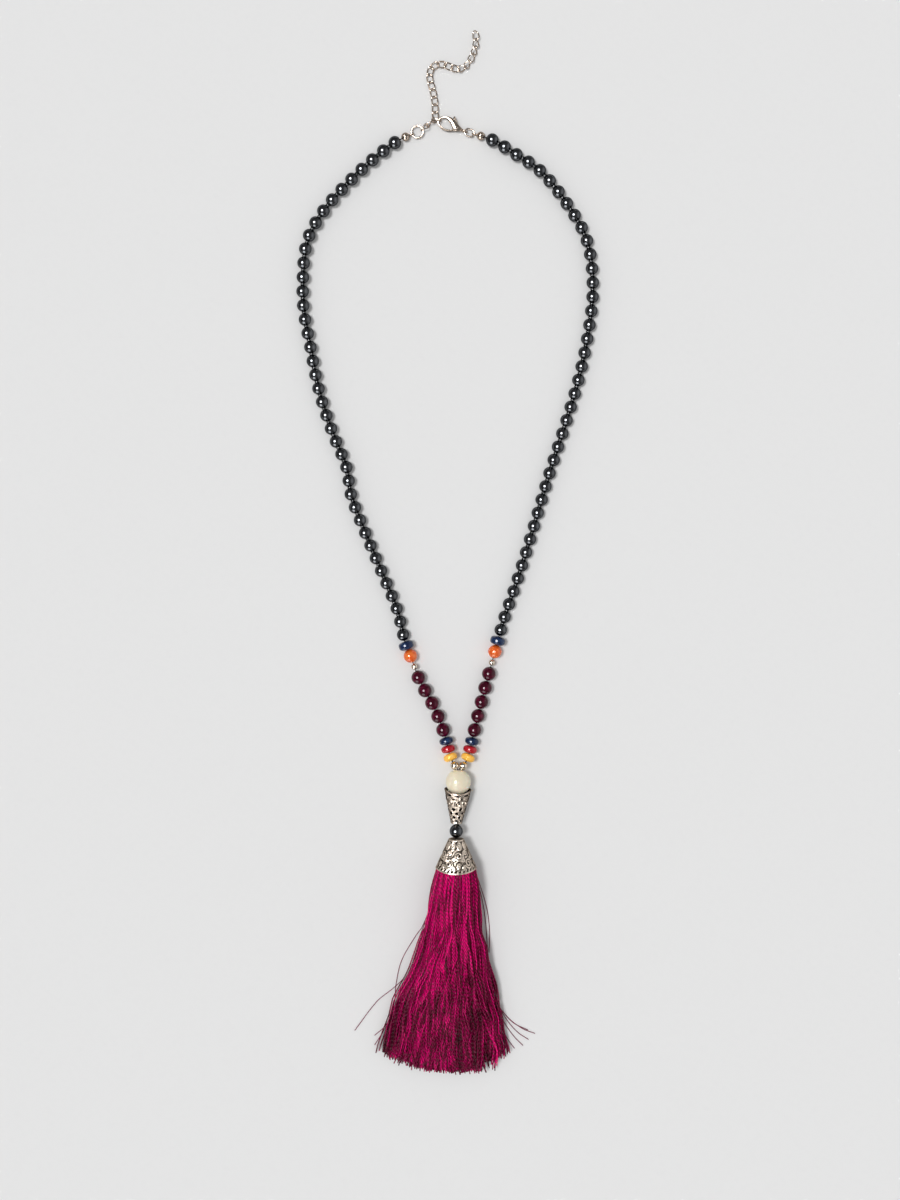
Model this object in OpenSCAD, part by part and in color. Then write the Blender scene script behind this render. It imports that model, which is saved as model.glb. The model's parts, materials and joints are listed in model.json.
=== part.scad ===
// Tassel necklace lying on a level surface: two beaded strands, a claw clasp with an extender chain,
// and a drop of one pale bead, an openwork cone, a dark bead and a cap that holds a thread tassel.
// +Z is up and +Y points to the clasp. The origin is on the surface, in the middle of the neck opening.

/* [Dark beads] */
// Diameter of a dark bead
dark_d = 5.9; // [5.4:0.1:6.6]
// Gap between two dark beads, which a seed bead fills
dark_gap = 0.62; // [0.5:0.01:1.2]
// Dark beads on each strand
dark_n = 40; // [36:1:44]
// Bore through every bead of a strand
bore_d = 1.4; // [1.3:0.05:1.7]

/* [Coloured beads] */
// Diameter of the thick navy rondelle
rondelle_d = 7.3; // [6.8:0.1:8]
// Length of the thick navy rondelle
rondelle_l = 4; // [3:0.1:5]
// Diameter of the orange bead
orange_d = 6.5; // [6:0.1:7]
// Diameter of the small silver spacer
spacer_d = 3; // [2.6:0.1:3.6]
// Diameter of a plum bead
plum_d = 6.7; // [6:0.1:7.2]
// Gap between two plum beads
plum_gap = 0.37; // [0.25:0.01:0.9]
// Diameter of the three flat discs
disc_d = 6.8; // [6.2:0.1:7.2]
// Thickness of the three flat discs
disc_l = 3.6; // [3:0.1:4.2]
// Gap between a disc, rondelle or orange bead and the bead before it
disc_gap = 0.4; // [0.3:0.05:0.8]
// Diameter of the silver bead that ends a strand
round_d = 4; // [3.4:0.1:4.4]
// Gap before and after a silver bead
silver_gap = 0.9; // [0.6:0.05:1.2]

/* [Thread] */
// Diameter of the bead thread
thread_d = 0.5; // [0.3:0.05:0.6]

/* [Findings] */
// Diameter of the folding cover over a strand's last knot
cover_d = 3.8; // [3.4:0.1:4.4]
// Wall of the cover
cover_wall = 0.4; // [0.3:0.05:0.6]
// Outer diameter of the cover's loop
cover_loop_d = 2.8; // [2.6:0.1:3.2]
// Wire of the cover's loop
cover_loop_wire = 0.55; // [0.5:0.05:0.6]
// Outer diameter of the jump ring
ring_d = 6.2; // [5.6:0.1:7]
// Wire of the jump ring
ring_wire = 0.8; // [0.6:0.05:0.9]
// Length of the oval ring between the clasp and the right strand
oval_l = 5; // [4.6:0.1:6]
// Width of the oval ring
oval_w = 3.9; // [3.6:0.1:4.6]
// Wire of the oval ring
oval_wire = 0.65; // [0.5:0.05:0.7]

/* [Extender chain] */
// Outer length of a chain link
link_l = 4.75; // [4.6:0.05:5]
// Outer width of a chain link
link_w = 3.4; // [3.3:0.05:3.7]
// Wire of a chain link
link_wire = 0.55; // [0.45:0.05:0.6]
// Turn of each end of a link about its length
link_twist = 45; // [40:1:50]
// Links of the free end, beyond the one that the clasp holds
link_n = 17; // [13:1:17]

/* [Claw clasp] */
// Length of the clasp's claw without its eye
claw_l = 12.4; // [12:0.1:13.5]
// Width of the claw across its opening
claw_w = 6.6; // [6.2:0.1:7.2]
// Wire width of the claw at its nose
claw_rim = 1; // [0.9:0.05:1.1]
// Thickness of the claw at its back
claw_t = 2.6; // [2.4:0.1:3]
// Thickness of the claw at its nose
nose_t = 1; // [0.9:0.05:1.2]
// Thickness of the lever
lever_t = 0.9; // [0.7:0.05:1]
// Diameter of the lever's pivot pin
pin_d = 0.8; // [0.6:0.05:0.9]
// Outer diameter of the clasp's eye
eye_d = 3.4; // [3.2:0.1:3.6]
// Wire of the clasp's eye
eye_wire = 0.75; // [0.6:0.05:0.8]

/* [Drop] */
// Diameter of the pale bead
pale_d = 12.1; // [11.4:0.1:12.6]
// Bore of the pale bead and the drop's dark bead
drop_bore_d = 2; // [1.9:0.1:2.4]
// Length of the openwork cone
cone_l = 17; // [15:0.5:19]
// Radius of the cone's mouth
cone_r = 6.4; // [6.3:0.05:6.8]
// Radius of the cone's narrow end
cone_end_r = 2.6; // [2.4:0.1:3]
// Wall of the cone
cone_wall = 0.8; // [0.7:0.05:1]
// Diameter of the dark bead between cone and cap
knot_bead_d = 6.4; // [6:0.1:7]

/* [Tassel cap] */
// Length of the cap
cap_l = 14; // [12:0.5:16]
// Radius of the cap's rim
cap_r = 9.75; // [9:0.05:10.5]
// Radius of the cap's narrow end
cap_end_r = 3.4; // [3:0.1:3.8]
// Wall of the cap
cap_wall = 0.9; // [0.8:0.05:1.1]
// Height of the cap's raised scrolls
relief_h = 0.3; // [0.2:0.05:0.4]

/* [Tassel] */
// Length of the tassel below the cap's rim
tassel_l = 106; // [90:1:116]
// Width of the tassel's spread end
tassel_w = 63; // [54:1:70]
// Thickness of the tassel's spread end
tassel_end_h = 6; // [5:0.5:8]
// Locks in each of the tassel's two layers
lock_n = 9; // [8:1:10]

/* [Hidden] */
// Clearance between two metal pieces, and between a bead and its seat
clear = 0.2;
// Sides of a link's wire and of the thread, and points around a link
WIRE_SIDES = 5;
LINK_POINTS = 16;
// Steps between two chosen points of a route
ROUTE_STEPS = 6;
// Radial clearance of the lever on its pin
pin_clear = 0.08;
// Plum beads on each strand
plum_n = 5;
$fn = 32;

// Chosen points of the whole loop, from the pale bead up the left strand, over the clasp and down again
LOOP_ROUTE = [
    [4.9, -213.1], [2.5, -210.9], [0.4, -205.1], [-1.5, -197], [-7, -182.5], [-13.5, -171], [-17, -161],
    [-21, -150.5], [-24, -137], [-29, -124.5], [-36.5, -106.5], [-43.5, -89], [-46.5, -80], [-47.5, -69.5],
    [-52.5, -57.5], [-57.5, -43.5], [-61.5, -29], [-64.5, -12], [-67.5, 5], [-67.5, 20], [-65.5, 36],
    [-57.5, 50], [-44.5, 64], [-34.5, 73], [-24.5, 80.5], [-19, 83.5], [-12.5, 86], [-5, 90.5],
    [7, 86], [15.5, 83.5], [21, 81.5], [31.5, 75], [42.5, 68], [55, 53], [64.5, 36.5], [67.5, 16],
    [66, -3], [61.5, -26.5], [55, -49], [48, -71], [42.5, -90], [37, -109], [31, -128], [26.5, -141],
    [22, -158], [18, -173], [13.5, -191], [11, -202], [9.5, -208], [8, -210.9], [5.5, -213.1]
];
// Chosen points of the chain's free end, from where it leaves the link that the claw holds
CHAIN_ROUTE = [
    [0, 0], [-0.2, 4], [-0.2, 7.5], [-1.2, 13.6], [-3, 20], [-2.2, 23.8], [0.4, 25.6], [3.4, 25.7], [9.7, 23],
    [12.2, 23], [14.6, 24.7], [16.7, 28.1], [18.2, 31.5], [19, 35], [18.4, 40.5]
];
// Turn of each link of the free end about its own length
CHAIN_ROLL = [-8, 0, 0, 0, 0, 0, 0, 0, 0, 10, 25, 45, 50, 30, 45, 35, 10];

// Columns of STRAND: one row for each bead, from the clasp down to the drop
D = 0;
LEN = 1;
GAP = 2;
STRAND = concat(
    [for (i = [1:dark_n]) [dark_d, dark_d, dark_gap]],
    [[rondelle_d, rondelle_l, disc_gap]],
    [[orange_d, orange_d, disc_gap / 2]],
    [[spacer_d, spacer_d * 0.9, silver_gap]],
    [for (i = [1:plum_n]) [plum_d, plum_d, i == 1 ? silver_gap : plum_gap]],
    [[disc_d, disc_l, disc_gap]],
    [[disc_d, disc_l, disc_gap]],
    [[disc_d, disc_l, disc_gap]],
    [[round_d, round_d, silver_gap * 0.7]]
);
RONDELLE = dark_n;
ORANGE = dark_n + 1;
SPACER = dark_n + 2;
PLUM = dark_n + 3;
NAVY_DISC = PLUM + plum_n;
RED_DISC = NAVY_DISC + 1;
YELLOW_DISC = RED_DISC + 1;
ROUND = YELLOW_DISC + 1;

// Sum of the first n entries of one column, for a running length
function total(rows, column, n) = n <= 0 ? 0 : rows[n - 1][column] + total(rows, column, n - 1);
function mid(a, b) = (a + b) / 2;
function unit(v) = v / norm(v);
function mix(a, b, share) = a * (1 - share) + b * share;

// A smooth curve through chosen points, with each point's slope weighted by its two neighbours
function slope(route, i) =
    let (a = route[max(i - 1, 0)], b = route[i], c = route[min(i + 1, len(route) - 1)])
    (c - a) / (norm(b - a) + norm(c - b));
function hermite(a, b, da, db, h, t) =
    a * (2 * t ^ 3 - 3 * t ^ 2 + 1) + b * (3 * t ^ 2 - 2 * t ^ 3)
    + da * h * (t ^ 3 - 2 * t ^ 2 + t) + db * h * (t ^ 3 - t ^ 2);
function smooth(route) = [
    for (i = [0:len(route) - 2], k = [0:ROUTE_STEPS - (i == len(route) - 2 ? 0 : 1)])
        hermite(route[i], route[i + 1], slope(route, i), slope(route, i + 1),
            norm(route[i + 1] - route[i]), k / ROUTE_STEPS)
];
// Running length at each sample of a curve
function lengths(curve) = [
    for (i = 0, s = 0; i < len(curve); s = s + norm(curve[min(i + 1, len(curve) - 1)] - curve[i]), i = i + 1) s
];
// A table that lookup() reads: one coordinate against the length along a curve grown to a wanted length
function ruler(curve, run, wanted, axis) =
    let (grow = wanted / run[len(run) - 1]) [for (i = [0:len(curve) - 1]) grow * [run[i], curve[i][axis]]];

// The clasp's pieces along the loop, from the left strand's end to the right strand's
cover_at = clear + cover_d / 2;
cover_loop_r = (cover_loop_d - cover_loop_wire) / 2;
cover_reach = cover_d / 2 + 2 * cover_loop_r;
ring_r = (ring_d - ring_wire) / 2;
link_a = (link_l - link_wire) / 2;
link_b = (link_w - link_wire) / 2;
eye_r = (eye_d - eye_wire) / 2;
oval_a = (oval_l - oval_wire) / 2;
oval_b = (oval_w - oval_wire) / 2;
function overlap(wire_1, wire_2) = (wire_1 + wire_2) / 2 + clear;
// What the bends between ring and claw take off the run
bend_slack = 0.8;
ring_at = cover_at + cover_reach - overlap(cover_loop_wire, ring_wire) + ring_r;
link_1_at = ring_at + ring_r - overlap(ring_wire, link_wire) + link_a;
link_pitch = 2 * link_a - overlap(link_wire, link_wire);
link_2_at = link_1_at + link_pitch;
link_3_at = link_2_at + link_pitch;
// The claw's nose passes through the third link, at its far end
nose_at = link_3_at + link_a - link_wire / 2 - clear - claw_rim - bend_slack;
eye_at = nose_at + claw_l + eye_r - eye_wire / 2;
oval_at = eye_at + eye_r - overlap(eye_wire, oval_wire) + oval_a;
cover_2_at = oval_at + oval_a - overlap(oval_wire, cover_loop_wire) + cover_reach;
clasp_run = cover_2_at + cover_at;

strand_run = total(STRAND, LEN, len(STRAND)) + total(STRAND, GAP, len(STRAND));
drop_lead = 0.6;
loop_run = 2 * (strand_run + drop_lead) + clasp_run;
LOOP_CURVE = smooth(LOOP_ROUTE);
LOOP_LENGTHS = lengths(LOOP_CURVE);
LOOP_X = ruler(LOOP_CURVE, LOOP_LENGTHS, loop_run, 0);
LOOP_Y = ruler(LOOP_CURVE, LOOP_LENGTHS, loop_run, 1);
function on_loop(s) = [lookup(s, LOOP_X), lookup(s, LOOP_Y)];
// A point of a strand, by its run from the clasp
function on_strand(side, run) =
    on_loop(side == "left" ? drop_lead + strand_run - run : loop_run - drop_lead - strand_run + run);
// A point of the clasp, by its run from the left strand's end
function on_clasp(run) = on_loop(drop_lead + strand_run + run);

// Where the drop hangs together: each piece's pitch below level, towards the pale bead
cap_pitch = 2.5;
knot_pitch = 28;
cone_pitch = -3;
drop_turn = 2.5;
cap_hole_r = drop_bore_d / 2 + 0.3;
cone_mouth_in = cone_r - cone_wall;
cone_end_in = cone_end_r - cone_wall - 0.3;
function heading(turn, pitch) = [-sin(turn) * cos(pitch), -cos(turn) * cos(pitch), sin(pitch)];
cone_dir = heading(drop_turn, cone_pitch);
knot_dir = heading(drop_turn / 2, knot_pitch);
cap_dir = heading(0, cap_pitch);
// How far a ball's centre stands out of a hole: against its edge, or against the face round it where the
// ball leans over by a large angle
function seat(r_ball, r_hole, lean = 0) =
    let (r = r_ball + clear, out = r_hole * sin(lean) + sqrt(r ^ 2 - (r_hole * cos(lean)) ^ 2))
    out * sin(lean) > r_hole ? r / cos(lean) : out;
// Play of the pale bead along the cone
pale_play = 0.7;
pale_out = seat(pale_d / 2, cone_mouth_in) + pale_play;
knot_out = seat(knot_bead_d / 2, cone_end_in, acos(knot_dir * cone_dir));
cap_out = seat(knot_bead_d / 2, cap_hole_r, acos(knot_dir * cap_dir));
rim_z = (cap_r + relief_h) * cos(cap_pitch);
drop_z = rim_z - cap_dir[2] * cap_l - knot_dir[2] * (cap_out + knot_out) - cone_dir[2] * (cone_l + pale_out);
drop_top = on_loop(0);
pale_at = [drop_top[0], drop_top[1], drop_z] + heading(0, 0) * pale_d / 2;
mouth_at = pale_at + cone_dir * pale_out;
cone_end_at = mouth_at + cone_dir * cone_l;
knot_at = cone_end_at + knot_dir * knot_out;
cap_end_at = knot_at + knot_dir * cap_out;
rim_at = cap_end_at + cap_dir * cap_l;

// Height of a bead's centre: it lies on the surface, or its larger neighbours hold it up, and the
// last beads climb to the bore of the pale bead
climb_run = 16;
function climb(run) = max(0, 1 - (strand_run - run) / climb_run) ^ 2 * (drop_z - disc_d / 2);
function radius(i) = STRAND[max(0, min(i, len(STRAND) - 1))][D] / 2;
function bead_start(i) = total(STRAND, LEN, i) + total(STRAND, GAP, i + 1);
function bead_mid(i) = bead_start(i) + STRAND[i][LEN] / 2;
function bead_z(i) =
    i < 0 ? cover_d / 2
    : i >= len(STRAND) ? drop_z
    : i >= NAVY_DISC ? disc_d / 2 + climb(bead_mid(i)) + 0.25
    : max(radius(i), min(radius(i - 1), radius(i + 1)));
function gap_z(i) = mid(bead_z(i - 1), bead_z(i));
function bead_ends(side, i) =
    let (a = on_strand(side, bead_start(i)), b = on_strand(side, bead_start(i) + STRAND[i][LEN]))
    let (lift = bead_z(i) - mid(gap_z(i), gap_z(i + 1)))
    [[a[0], a[1], gap_z(i) + lift], [b[0], b[1], gap_z(i + 1) + lift]];

module place(at, dir) {
    translate(at) rotate([0, acos(dir[2] / norm(dir)), atan2(dir[1], dir[0])]) children();
}
module place_bead(side, i) {
    ends = bead_ends(side, i);
    place(mid(ends[0], ends[1]), ends[1] - ends[0]) children();
}
// A flat piece of the clasp: its length runs along +X between two points, turned about that length
module place_flat(a, b, roll) {
    d = b - a;
    translate(mid(a, b)) rotate([0, -asin(d[2] / norm(d)), atan2(d[1], d[0])]) rotate([roll, 0, 0]) children();
}

// A closed or open tube of straight sides along a list of points
function ring_normals(path, closed, normals) = [
    for (i = [0:len(path) - 1])
        let (
            n = len(path),
            before = closed ? path[(i + n - 1) % n] : path[max(i - 1, 0)],
            after = closed ? path[(i + 1) % n] : path[min(i + 1, n - 1)],
            t = unit(after - before),
            out = normals == undef ? cross(t, [0, 0, 1]) : normals[i]
        )
        let (level = unit(out - t * (out * t))) [level, cross(t, level)]
];
module tube(path, r, sides, closed = false, normals = undef) {
    axes = ring_normals(path, closed, normals);
    skin([for (i = [0:len(path) - 1]) [for (k = [0:sides - 1])
        path[i] + r * (cos(360 * k / sides) * axes[i][0] + sin(360 * k / sides) * axes[i][1])]], closed);
}
// A solid inside rings of equally many points
module skin(rings, closed = false) {
    n = len(rings);
    m = len(rings[0]);
    walls = [for (i = [0:n - (closed ? 1 : 2)], k = [0:m - 1], half = [0, 1])
        let (j = (i + 1) % n, next = (k + 1) % m)
        half == 0 ? [i * m + k, j * m + k, j * m + next] : [i * m + k, j * m + next, i * m + next]];
    ends = closed ? [] : [[for (k = [0:m - 1]) k], [for (k = [m - 1:-1:0]) (n - 1) * m + k]];
    polyhedron([for (ring = rings, p = ring) p], concat(walls, ends));
}

module round_bead(d, hole) {
    difference() {
        sphere(d = d);
        cylinder(d = hole, h = d + 1, center = true);
    }
}
// A turned bead with a domed rim: power 2 is an ellipse, and more is squarer
module turned_bead(d, l, hole, power) {
    profile = [for (a = [-90:15:90]) [
        hole / 2 + (d - hole) / 2 * cos(a) ^ (2 / power),
        l / 2 * sign(sin(a)) * abs(sin(a)) ^ (2 / power)]];
    rotate_extrude() polygon(concat([[hole / 2, -l / 2]], profile, [[hole / 2, l / 2]]));
}

module dark_beads(side) {
    color("#24282c") for (i = [0:dark_n - 1]) place_bead(side, i) round_bead(dark_d, bore_d);
}
module coloured_round(side, i, tint) {
    color(tint) place_bead(side, i) round_bead(STRAND[i][D], bore_d);
}
module coloured_turned(side, i, tint, power) {
    color(tint) place_bead(side, i) turned_bead(STRAND[i][D], STRAND[i][LEN], bore_d, power);
}

// Both threads run side by side through the drop and end in the tassel's head
thread_apart = 0.35;
knot_depth = 4;
module strand_thread(side) {
    off = [side == "left" ? -thread_apart : thread_apart, 0, 0];
    first = on_strand(side, -cover_at);
    top = [[first[0], first[1], cover_d / 2]];
    beads = [for (i = [0:len(STRAND) - 1])
        let (p = on_strand(side, bead_start(i) - STRAND[i][GAP] / 2)) [p[0], p[1], gap_z(i)]];
    ends = bead_ends(side, ROUND);
    drop = [for (p = [
        pale_at - heading(0, 0) * pale_d / 2, pale_at + heading(0, 0) * (pale_d / 2 - 0.2),
        mouth_at + cone_dir * pale_d * 0.7,
        cone_end_at, knot_at, cap_end_at, cap_end_at + cap_dir * knot_depth]) p + off];
    color("#2a1f1c") tube(concat(top, beads, [ends[1]], drop), thread_d / 2, WIRE_SIDES + 1);
}

// The folding cover: a hollow ball split along the strand, with an upright loop
module knot_cover(side) {
    into = side == "left" ? cover_at : clasp_run - cover_at;
    away = side == "left" ? cover_at + cover_reach : clasp_run - cover_at - cover_reach;
    a = on_clasp(into);
    b = on_clasp(away);
    dir = [b[0] - a[0], b[1] - a[1], 0];
    color("#c9bfb4") translate([a[0], a[1], cover_d / 2]) rotate([0, 0, atan2(dir[1], dir[0])]) {
        difference() {
            sphere(d = cover_d);
            sphere(d = cover_d - 2 * cover_wall);
            translate([-cover_d, 0, 0]) rotate([0, 90, 0]) cylinder(d = bore_d + 2 * clear, h = cover_d);
            translate([-cover_d, -clear, -cover_d]) cube([1.3 * cover_d, 2 * clear, 2 * cover_d]);
        }
        translate([cover_d / 2 + cover_loop_r, 0, loop_z - cover_d / 2])
            rotate([90, 0, 0]) ring(cover_loop_r, cover_loop_wire);
    }
}
module ring(r, wire) {
    rotate_extrude() translate([r, 0]) circle(d = wire);
}

// Heights of the joints between the clasp's pieces
loop_z = cover_loop_d / 2 + 0.1;
ring_z = loop_z;
ring_far_z = 1.75;
claw_z = eye_d / 2;
hook_z = claw_z + 0.02;
function level(p, z) = [p[0], p[1], z];

module jump_ring() {
    a = level(on_clasp(ring_at - ring_r), ring_z);
    b = level(on_clasp(ring_at + ring_r), ring_far_z);
    color("#d3cdc6") place_flat(a, b, 0) ring(ring_r, ring_wire);
}

// A flat link whose two ends are turned against each other, so that a chain of them lies flat
link_turn = 360 / LINK_POINTS;
LINK_FLAT = [for (k = [0:LINK_POINTS - 1]) let (a = (k + 0.5) * link_turn)
    [link_b * cos(a) + sign(cos(a)) * (link_a - link_b), link_b * sin(a), a]];
function link_angle(p) = link_twist * p[0] / link_a;
module curb_link() {
    path = [for (p = LINK_FLAT) let (t = link_angle(p)) [p[0], p[1] * cos(t), p[1] * sin(t)]];
    outward = [for (p = LINK_FLAT) let (t = link_angle(p))
        [cos(p[2]), sin(p[2]) * cos(t), sin(p[2]) * sin(t)]];
    tube(path, link_wire / 2, WIRE_SIDES, true, outward);
}
// Height of a link's middle when it lies on the surface with a given turn
function rest(roll) = link_wire / 2 + 0.05 + max([for (p = LINK_FLAT) abs(p[1] * sin(link_angle(p) + roll))]);

// The claw's own frame: +X from its nose to its eye, +Y to its back. A pull from the chain meets its rim
// at the height of the rim's middle, so that point and the eye lie on the loop
rim_a = claw_l * 0.4;
rim_b = claw_w / 2;
rim_mid = [rim_a, 0.9];
nose_on_loop = level(on_clasp(nose_at), claw_z);
eye_on_loop = level(on_clasp(nose_at + claw_l + 2 * eye_r), claw_z);
function turned(v, angle) = [cos(angle) * v[0] - sin(angle) * v[1], sin(angle) * v[0] + cos(angle) * v[1], 0];
claw_dir = turned(unit(eye_on_loop - nose_on_loop), asin(rim_mid[1] / norm(eye_on_loop - nose_on_loop)));
claw_a = nose_on_loop - turned(claw_dir, 90) * rim_mid[1];
hook_turn = 10;
hook_dir = turned(claw_dir, hook_turn);
hook_in = level(nose_on_loop + hook_dir * (claw_rim + 2 * clear + link_wire / 2), hook_z);
hook_out = hook_in - hook_dir * (2 * link_a);
// Columns of HELD: how far the link before and the link after reach into the held link, and their heights
HELD = [[link_wire + 1.5 * clear, 1.65], [2.7 * link_wire + 1.5 * clear, 1.38]];
held_before = level(hook_out + hook_dir * HELD[0][0], HELD[0][1]);
chain_start = level(hook_out + hook_dir * HELD[1][0], HELD[1][1]);
CHAIN_CURVE = smooth(CHAIN_ROUTE);
CHAIN_LENGTHS = lengths(CHAIN_CURVE);
chain_run = (link_n - 1) * link_pitch + 2 * link_a;
CHAIN_X = ruler(CHAIN_CURVE, CHAIN_LENGTHS, chain_run, 0);
CHAIN_Y = ruler(CHAIN_CURVE, CHAIN_LENGTHS, chain_run, 1);
function on_chain(s, z) = [chain_start[0] + lookup(s, CHAIN_X), chain_start[1] + lookup(s, CHAIN_Y), z];
function joint_z(i) = i == 0 ? chain_start[2]
    : max(rest(CHAIN_ROLL[i - 1]), rest(CHAIN_ROLL[min(i, link_n - 1)]));
ring_far = level(on_clasp(ring_at + ring_r - overlap(ring_wire, link_wire)), ring_far_z);
half_way = level(mid(ring_far, held_before), 1.8);
function first_link(a, b) = a + unit(b - a) * 2 * link_a;
// Each link's two ends and its turn: two to the held link, the held link, and the free end
LINKS = concat(
    [[ring_far, first_link(ring_far, half_way), 128]],
    [[first_link(held_before, half_way), held_before, 87]],
    [[hook_out, hook_in, 71]],
    [for (i = [0:link_n - 1])
        [on_chain(i * link_pitch, joint_z(i)), on_chain(i * link_pitch + 2 * link_a, joint_z(i + 1)), CHAIN_ROLL[i]]]
);
module extender_chain() {
    color("#c9bfb4") for (link = LINKS) place_flat(link[0], link[1], link[2]) curb_link();
}

// The claw: an egg-shaped rim with a broad back, open where the lever closes it
pivot = [claw_l * 0.79, 0.2];
gate_from = 236;
gate_to = 322;
// The lever's reach, which passes clear of a link that hangs on the nose
gate_reach = pivot[0] - claw_rim - 3 * clear - link_wire;
function egg(a, b, angle) = rim_mid + [a * cos(angle), b * sin(angle)];
function arc_of(a, b, from, to, steps) = [for (k = [0:steps]) egg(a, b, from + (to - from) * k / steps)];
// The claw's inner edge from its back to its base, and round its tail, in shares of its length and width
CLAW_BASE = [
    [0.41, 0.33], [0.5, 0.2], [0.58, 0.03], [0.64, -0.17], [0.67, -0.25], [0.74, -0.23],
    [0.86, -0.14], [0.94, -0.09], [1, -0.085], [1, 0.085]
];
// Its thickness between nose (0) and back (1), in shares of its length
CLAW_SIDE = [
    [-0.1, 0], [0.2, 0], [0.28, 0.1], [0.36, 0.4], [0.45, 0.8], [0.54, 1], [0.84, 1], [0.93, 0.6], [1, 0.2]
];
module claw_outline() {
    polygon(concat(
        arc_of(rim_a, rim_b, 30, gate_from, 24),
        arc_of(rim_a - claw_rim, rim_b - claw_rim, gate_from, 165, 6),
        arc_of(rim_a - claw_rim, rim_b - claw_rim, 150, 110, 5),
        [for (p = CLAW_BASE) [p[0] * claw_l, p[1] * claw_w]]));
}
module clasp_body() {
    slot = lever_t + 2 * clear;
    swing = claw_w;
    color("#d8d2cb") translate(claw_a) rotate([0, 0, atan2(claw_dir[1], claw_dir[0])]) {
        difference() {
            intersection() {
                linear_extrude(height = claw_t, center = true) difference() {
                    claw_outline();
                    intersection() {
                        translate(pivot) circle(r = gate_reach + clear);
                        translate([0, -claw_w]) square([claw_l / 2, claw_w]);
                    }
                }
                rotate([90, 0, 0]) linear_extrude(height = 3 * claw_w, center = true) polygon(concat(
                    [for (p = CLAW_SIDE) [p[0] * claw_l, mix(nose_t, claw_t, p[1]) / 2]],
                    [for (i = [len(CLAW_SIDE) - 1:-1:0])
                        [CLAW_SIDE[i][0] * claw_l, -mix(nose_t, claw_t, CLAW_SIDE[i][1]) / 2]]));
            }
            linear_extrude(height = slot, center = true) {
                translate(pivot) circle(r = 1.35);
                translate(pivot) polygon([[0, 0], for (a = [56:8:136]) swing * [cos(a), sin(a)]]);
                translate(pivot) polygon([[0, 0], for (a = [128:8:168]) swing / 2 * [cos(a), sin(a)]]);
                translate(pivot) polygon([[0, 0], for (a = [156:8:252]) swing * [cos(a), sin(a)]]);
            }
        }
        translate([pivot[0], pivot[1], 0]) cylinder(d = pin_d, h = claw_t - 0.4, center = true);
        translate([claw_l - eye_wire / 2 + eye_r, 0, 0]) rotate([90, 0, 0]) ring(eye_r, eye_wire);
    }
}
// The lever: a thin arc that closes the claw, and a thumb tab that stands out of its back
module clasp_lever() {
    gate_w = 0.8;
    tab = [-0.2 * claw_l, 0.63 * claw_w];
    tip = gate_from - 20;
    color("#d8d2cb") translate(claw_a) rotate([0, 0, atan2(claw_dir[1], claw_dir[0])])
        linear_extrude(height = lever_t, center = true) difference() {
            union() {
                intersection() {
                    polygon(concat(arc_of(rim_a, rim_b, tip, gate_to, 16),
                        [pivot + [0.9, -0.3], pivot + [0.2, 0.9]],
                        arc_of(rim_a - gate_w, rim_b - gate_w, gate_to, tip, 16)));
                    translate(pivot) circle(r = gate_reach, $fn = 64);
                }
                translate(pivot) circle(r = 1.1);
                polygon([pivot + [-0.9, 0.4], pivot + [0.7, 0.6], pivot + tab + [0.5, 0.2], pivot + tab - [0.5, 0.1]]);
                translate(pivot + tab) circle(r = 0.55);
            }
            translate(pivot) circle(d = pin_d + 2 * pin_clear);
        }
}
module oval_ring() {
    a = level(on_clasp(oval_at - oval_a), claw_z - 0.1);
    b = level(on_clasp(oval_at + oval_a), loop_z);
    color("#c9bfb4") place_flat(a, b, 0) {
        for (end = [0, 180]) rotate([0, 0, end]) {
            translate([oval_a - oval_b, 0, 0]) rotate([0, 0, -90]) rotate_extrude(angle = 180)
                translate([oval_b, 0]) circle(d = oval_wire);
            translate([0, oval_b, 0]) rotate([0, 90, 0])
                cylinder(d = oval_wire, h = 2 * (oval_a - oval_b), center = true);
        }
    }
}

module pale_bead() {
    color("#e8ddc0") place(pale_at, [0, 1, 0]) round_bead(pale_d, drop_bore_d);
}
module drop_bead() {
    color("#24282c") place(knot_at, knot_dir) round_bead(knot_bead_d, drop_bore_d);
}

// Columns of CONE_ROWS: share of the cone's length from its mouth, hole's share of the free width there,
// turn of the row in columns, and whether a raised ring goes round each hole
ROW_AT = 0;
ROW_HOLE = 1;
ROW_TURN = 2;
ROW_RING = 3;
CONE_ROWS = [
    [0.09, 0.5, 0, 0], [0.21, 0.3, 0.5, 1], [0.37, 0.66, 0, 1], [0.53, 0.5, 0.5, 0],
    [0.66, 0.46, 0, 0], [0.78, 0.42, 0.5, 0], [0.89, 0.38, 0, 0]
];
CONE_COLUMNS = 8;
cone_slope = atan((cone_r - cone_end_r) / cone_l);
function cone_radius(share) = mix(cone_r, cone_end_r, share);
function hole_d(row) = row[ROW_HOLE] * 2 * PI * cone_radius(row[ROW_AT]) / CONE_COLUMNS;
module on_cone(row, column) {
    rotate([0, 0, (column + row[ROW_TURN]) * 360 / CONE_COLUMNS])
        translate([cone_radius(row[ROW_AT]), 0, row[ROW_AT] * cone_l]) rotate([0, 90 - cone_slope, 0])
            children();
}
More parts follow.
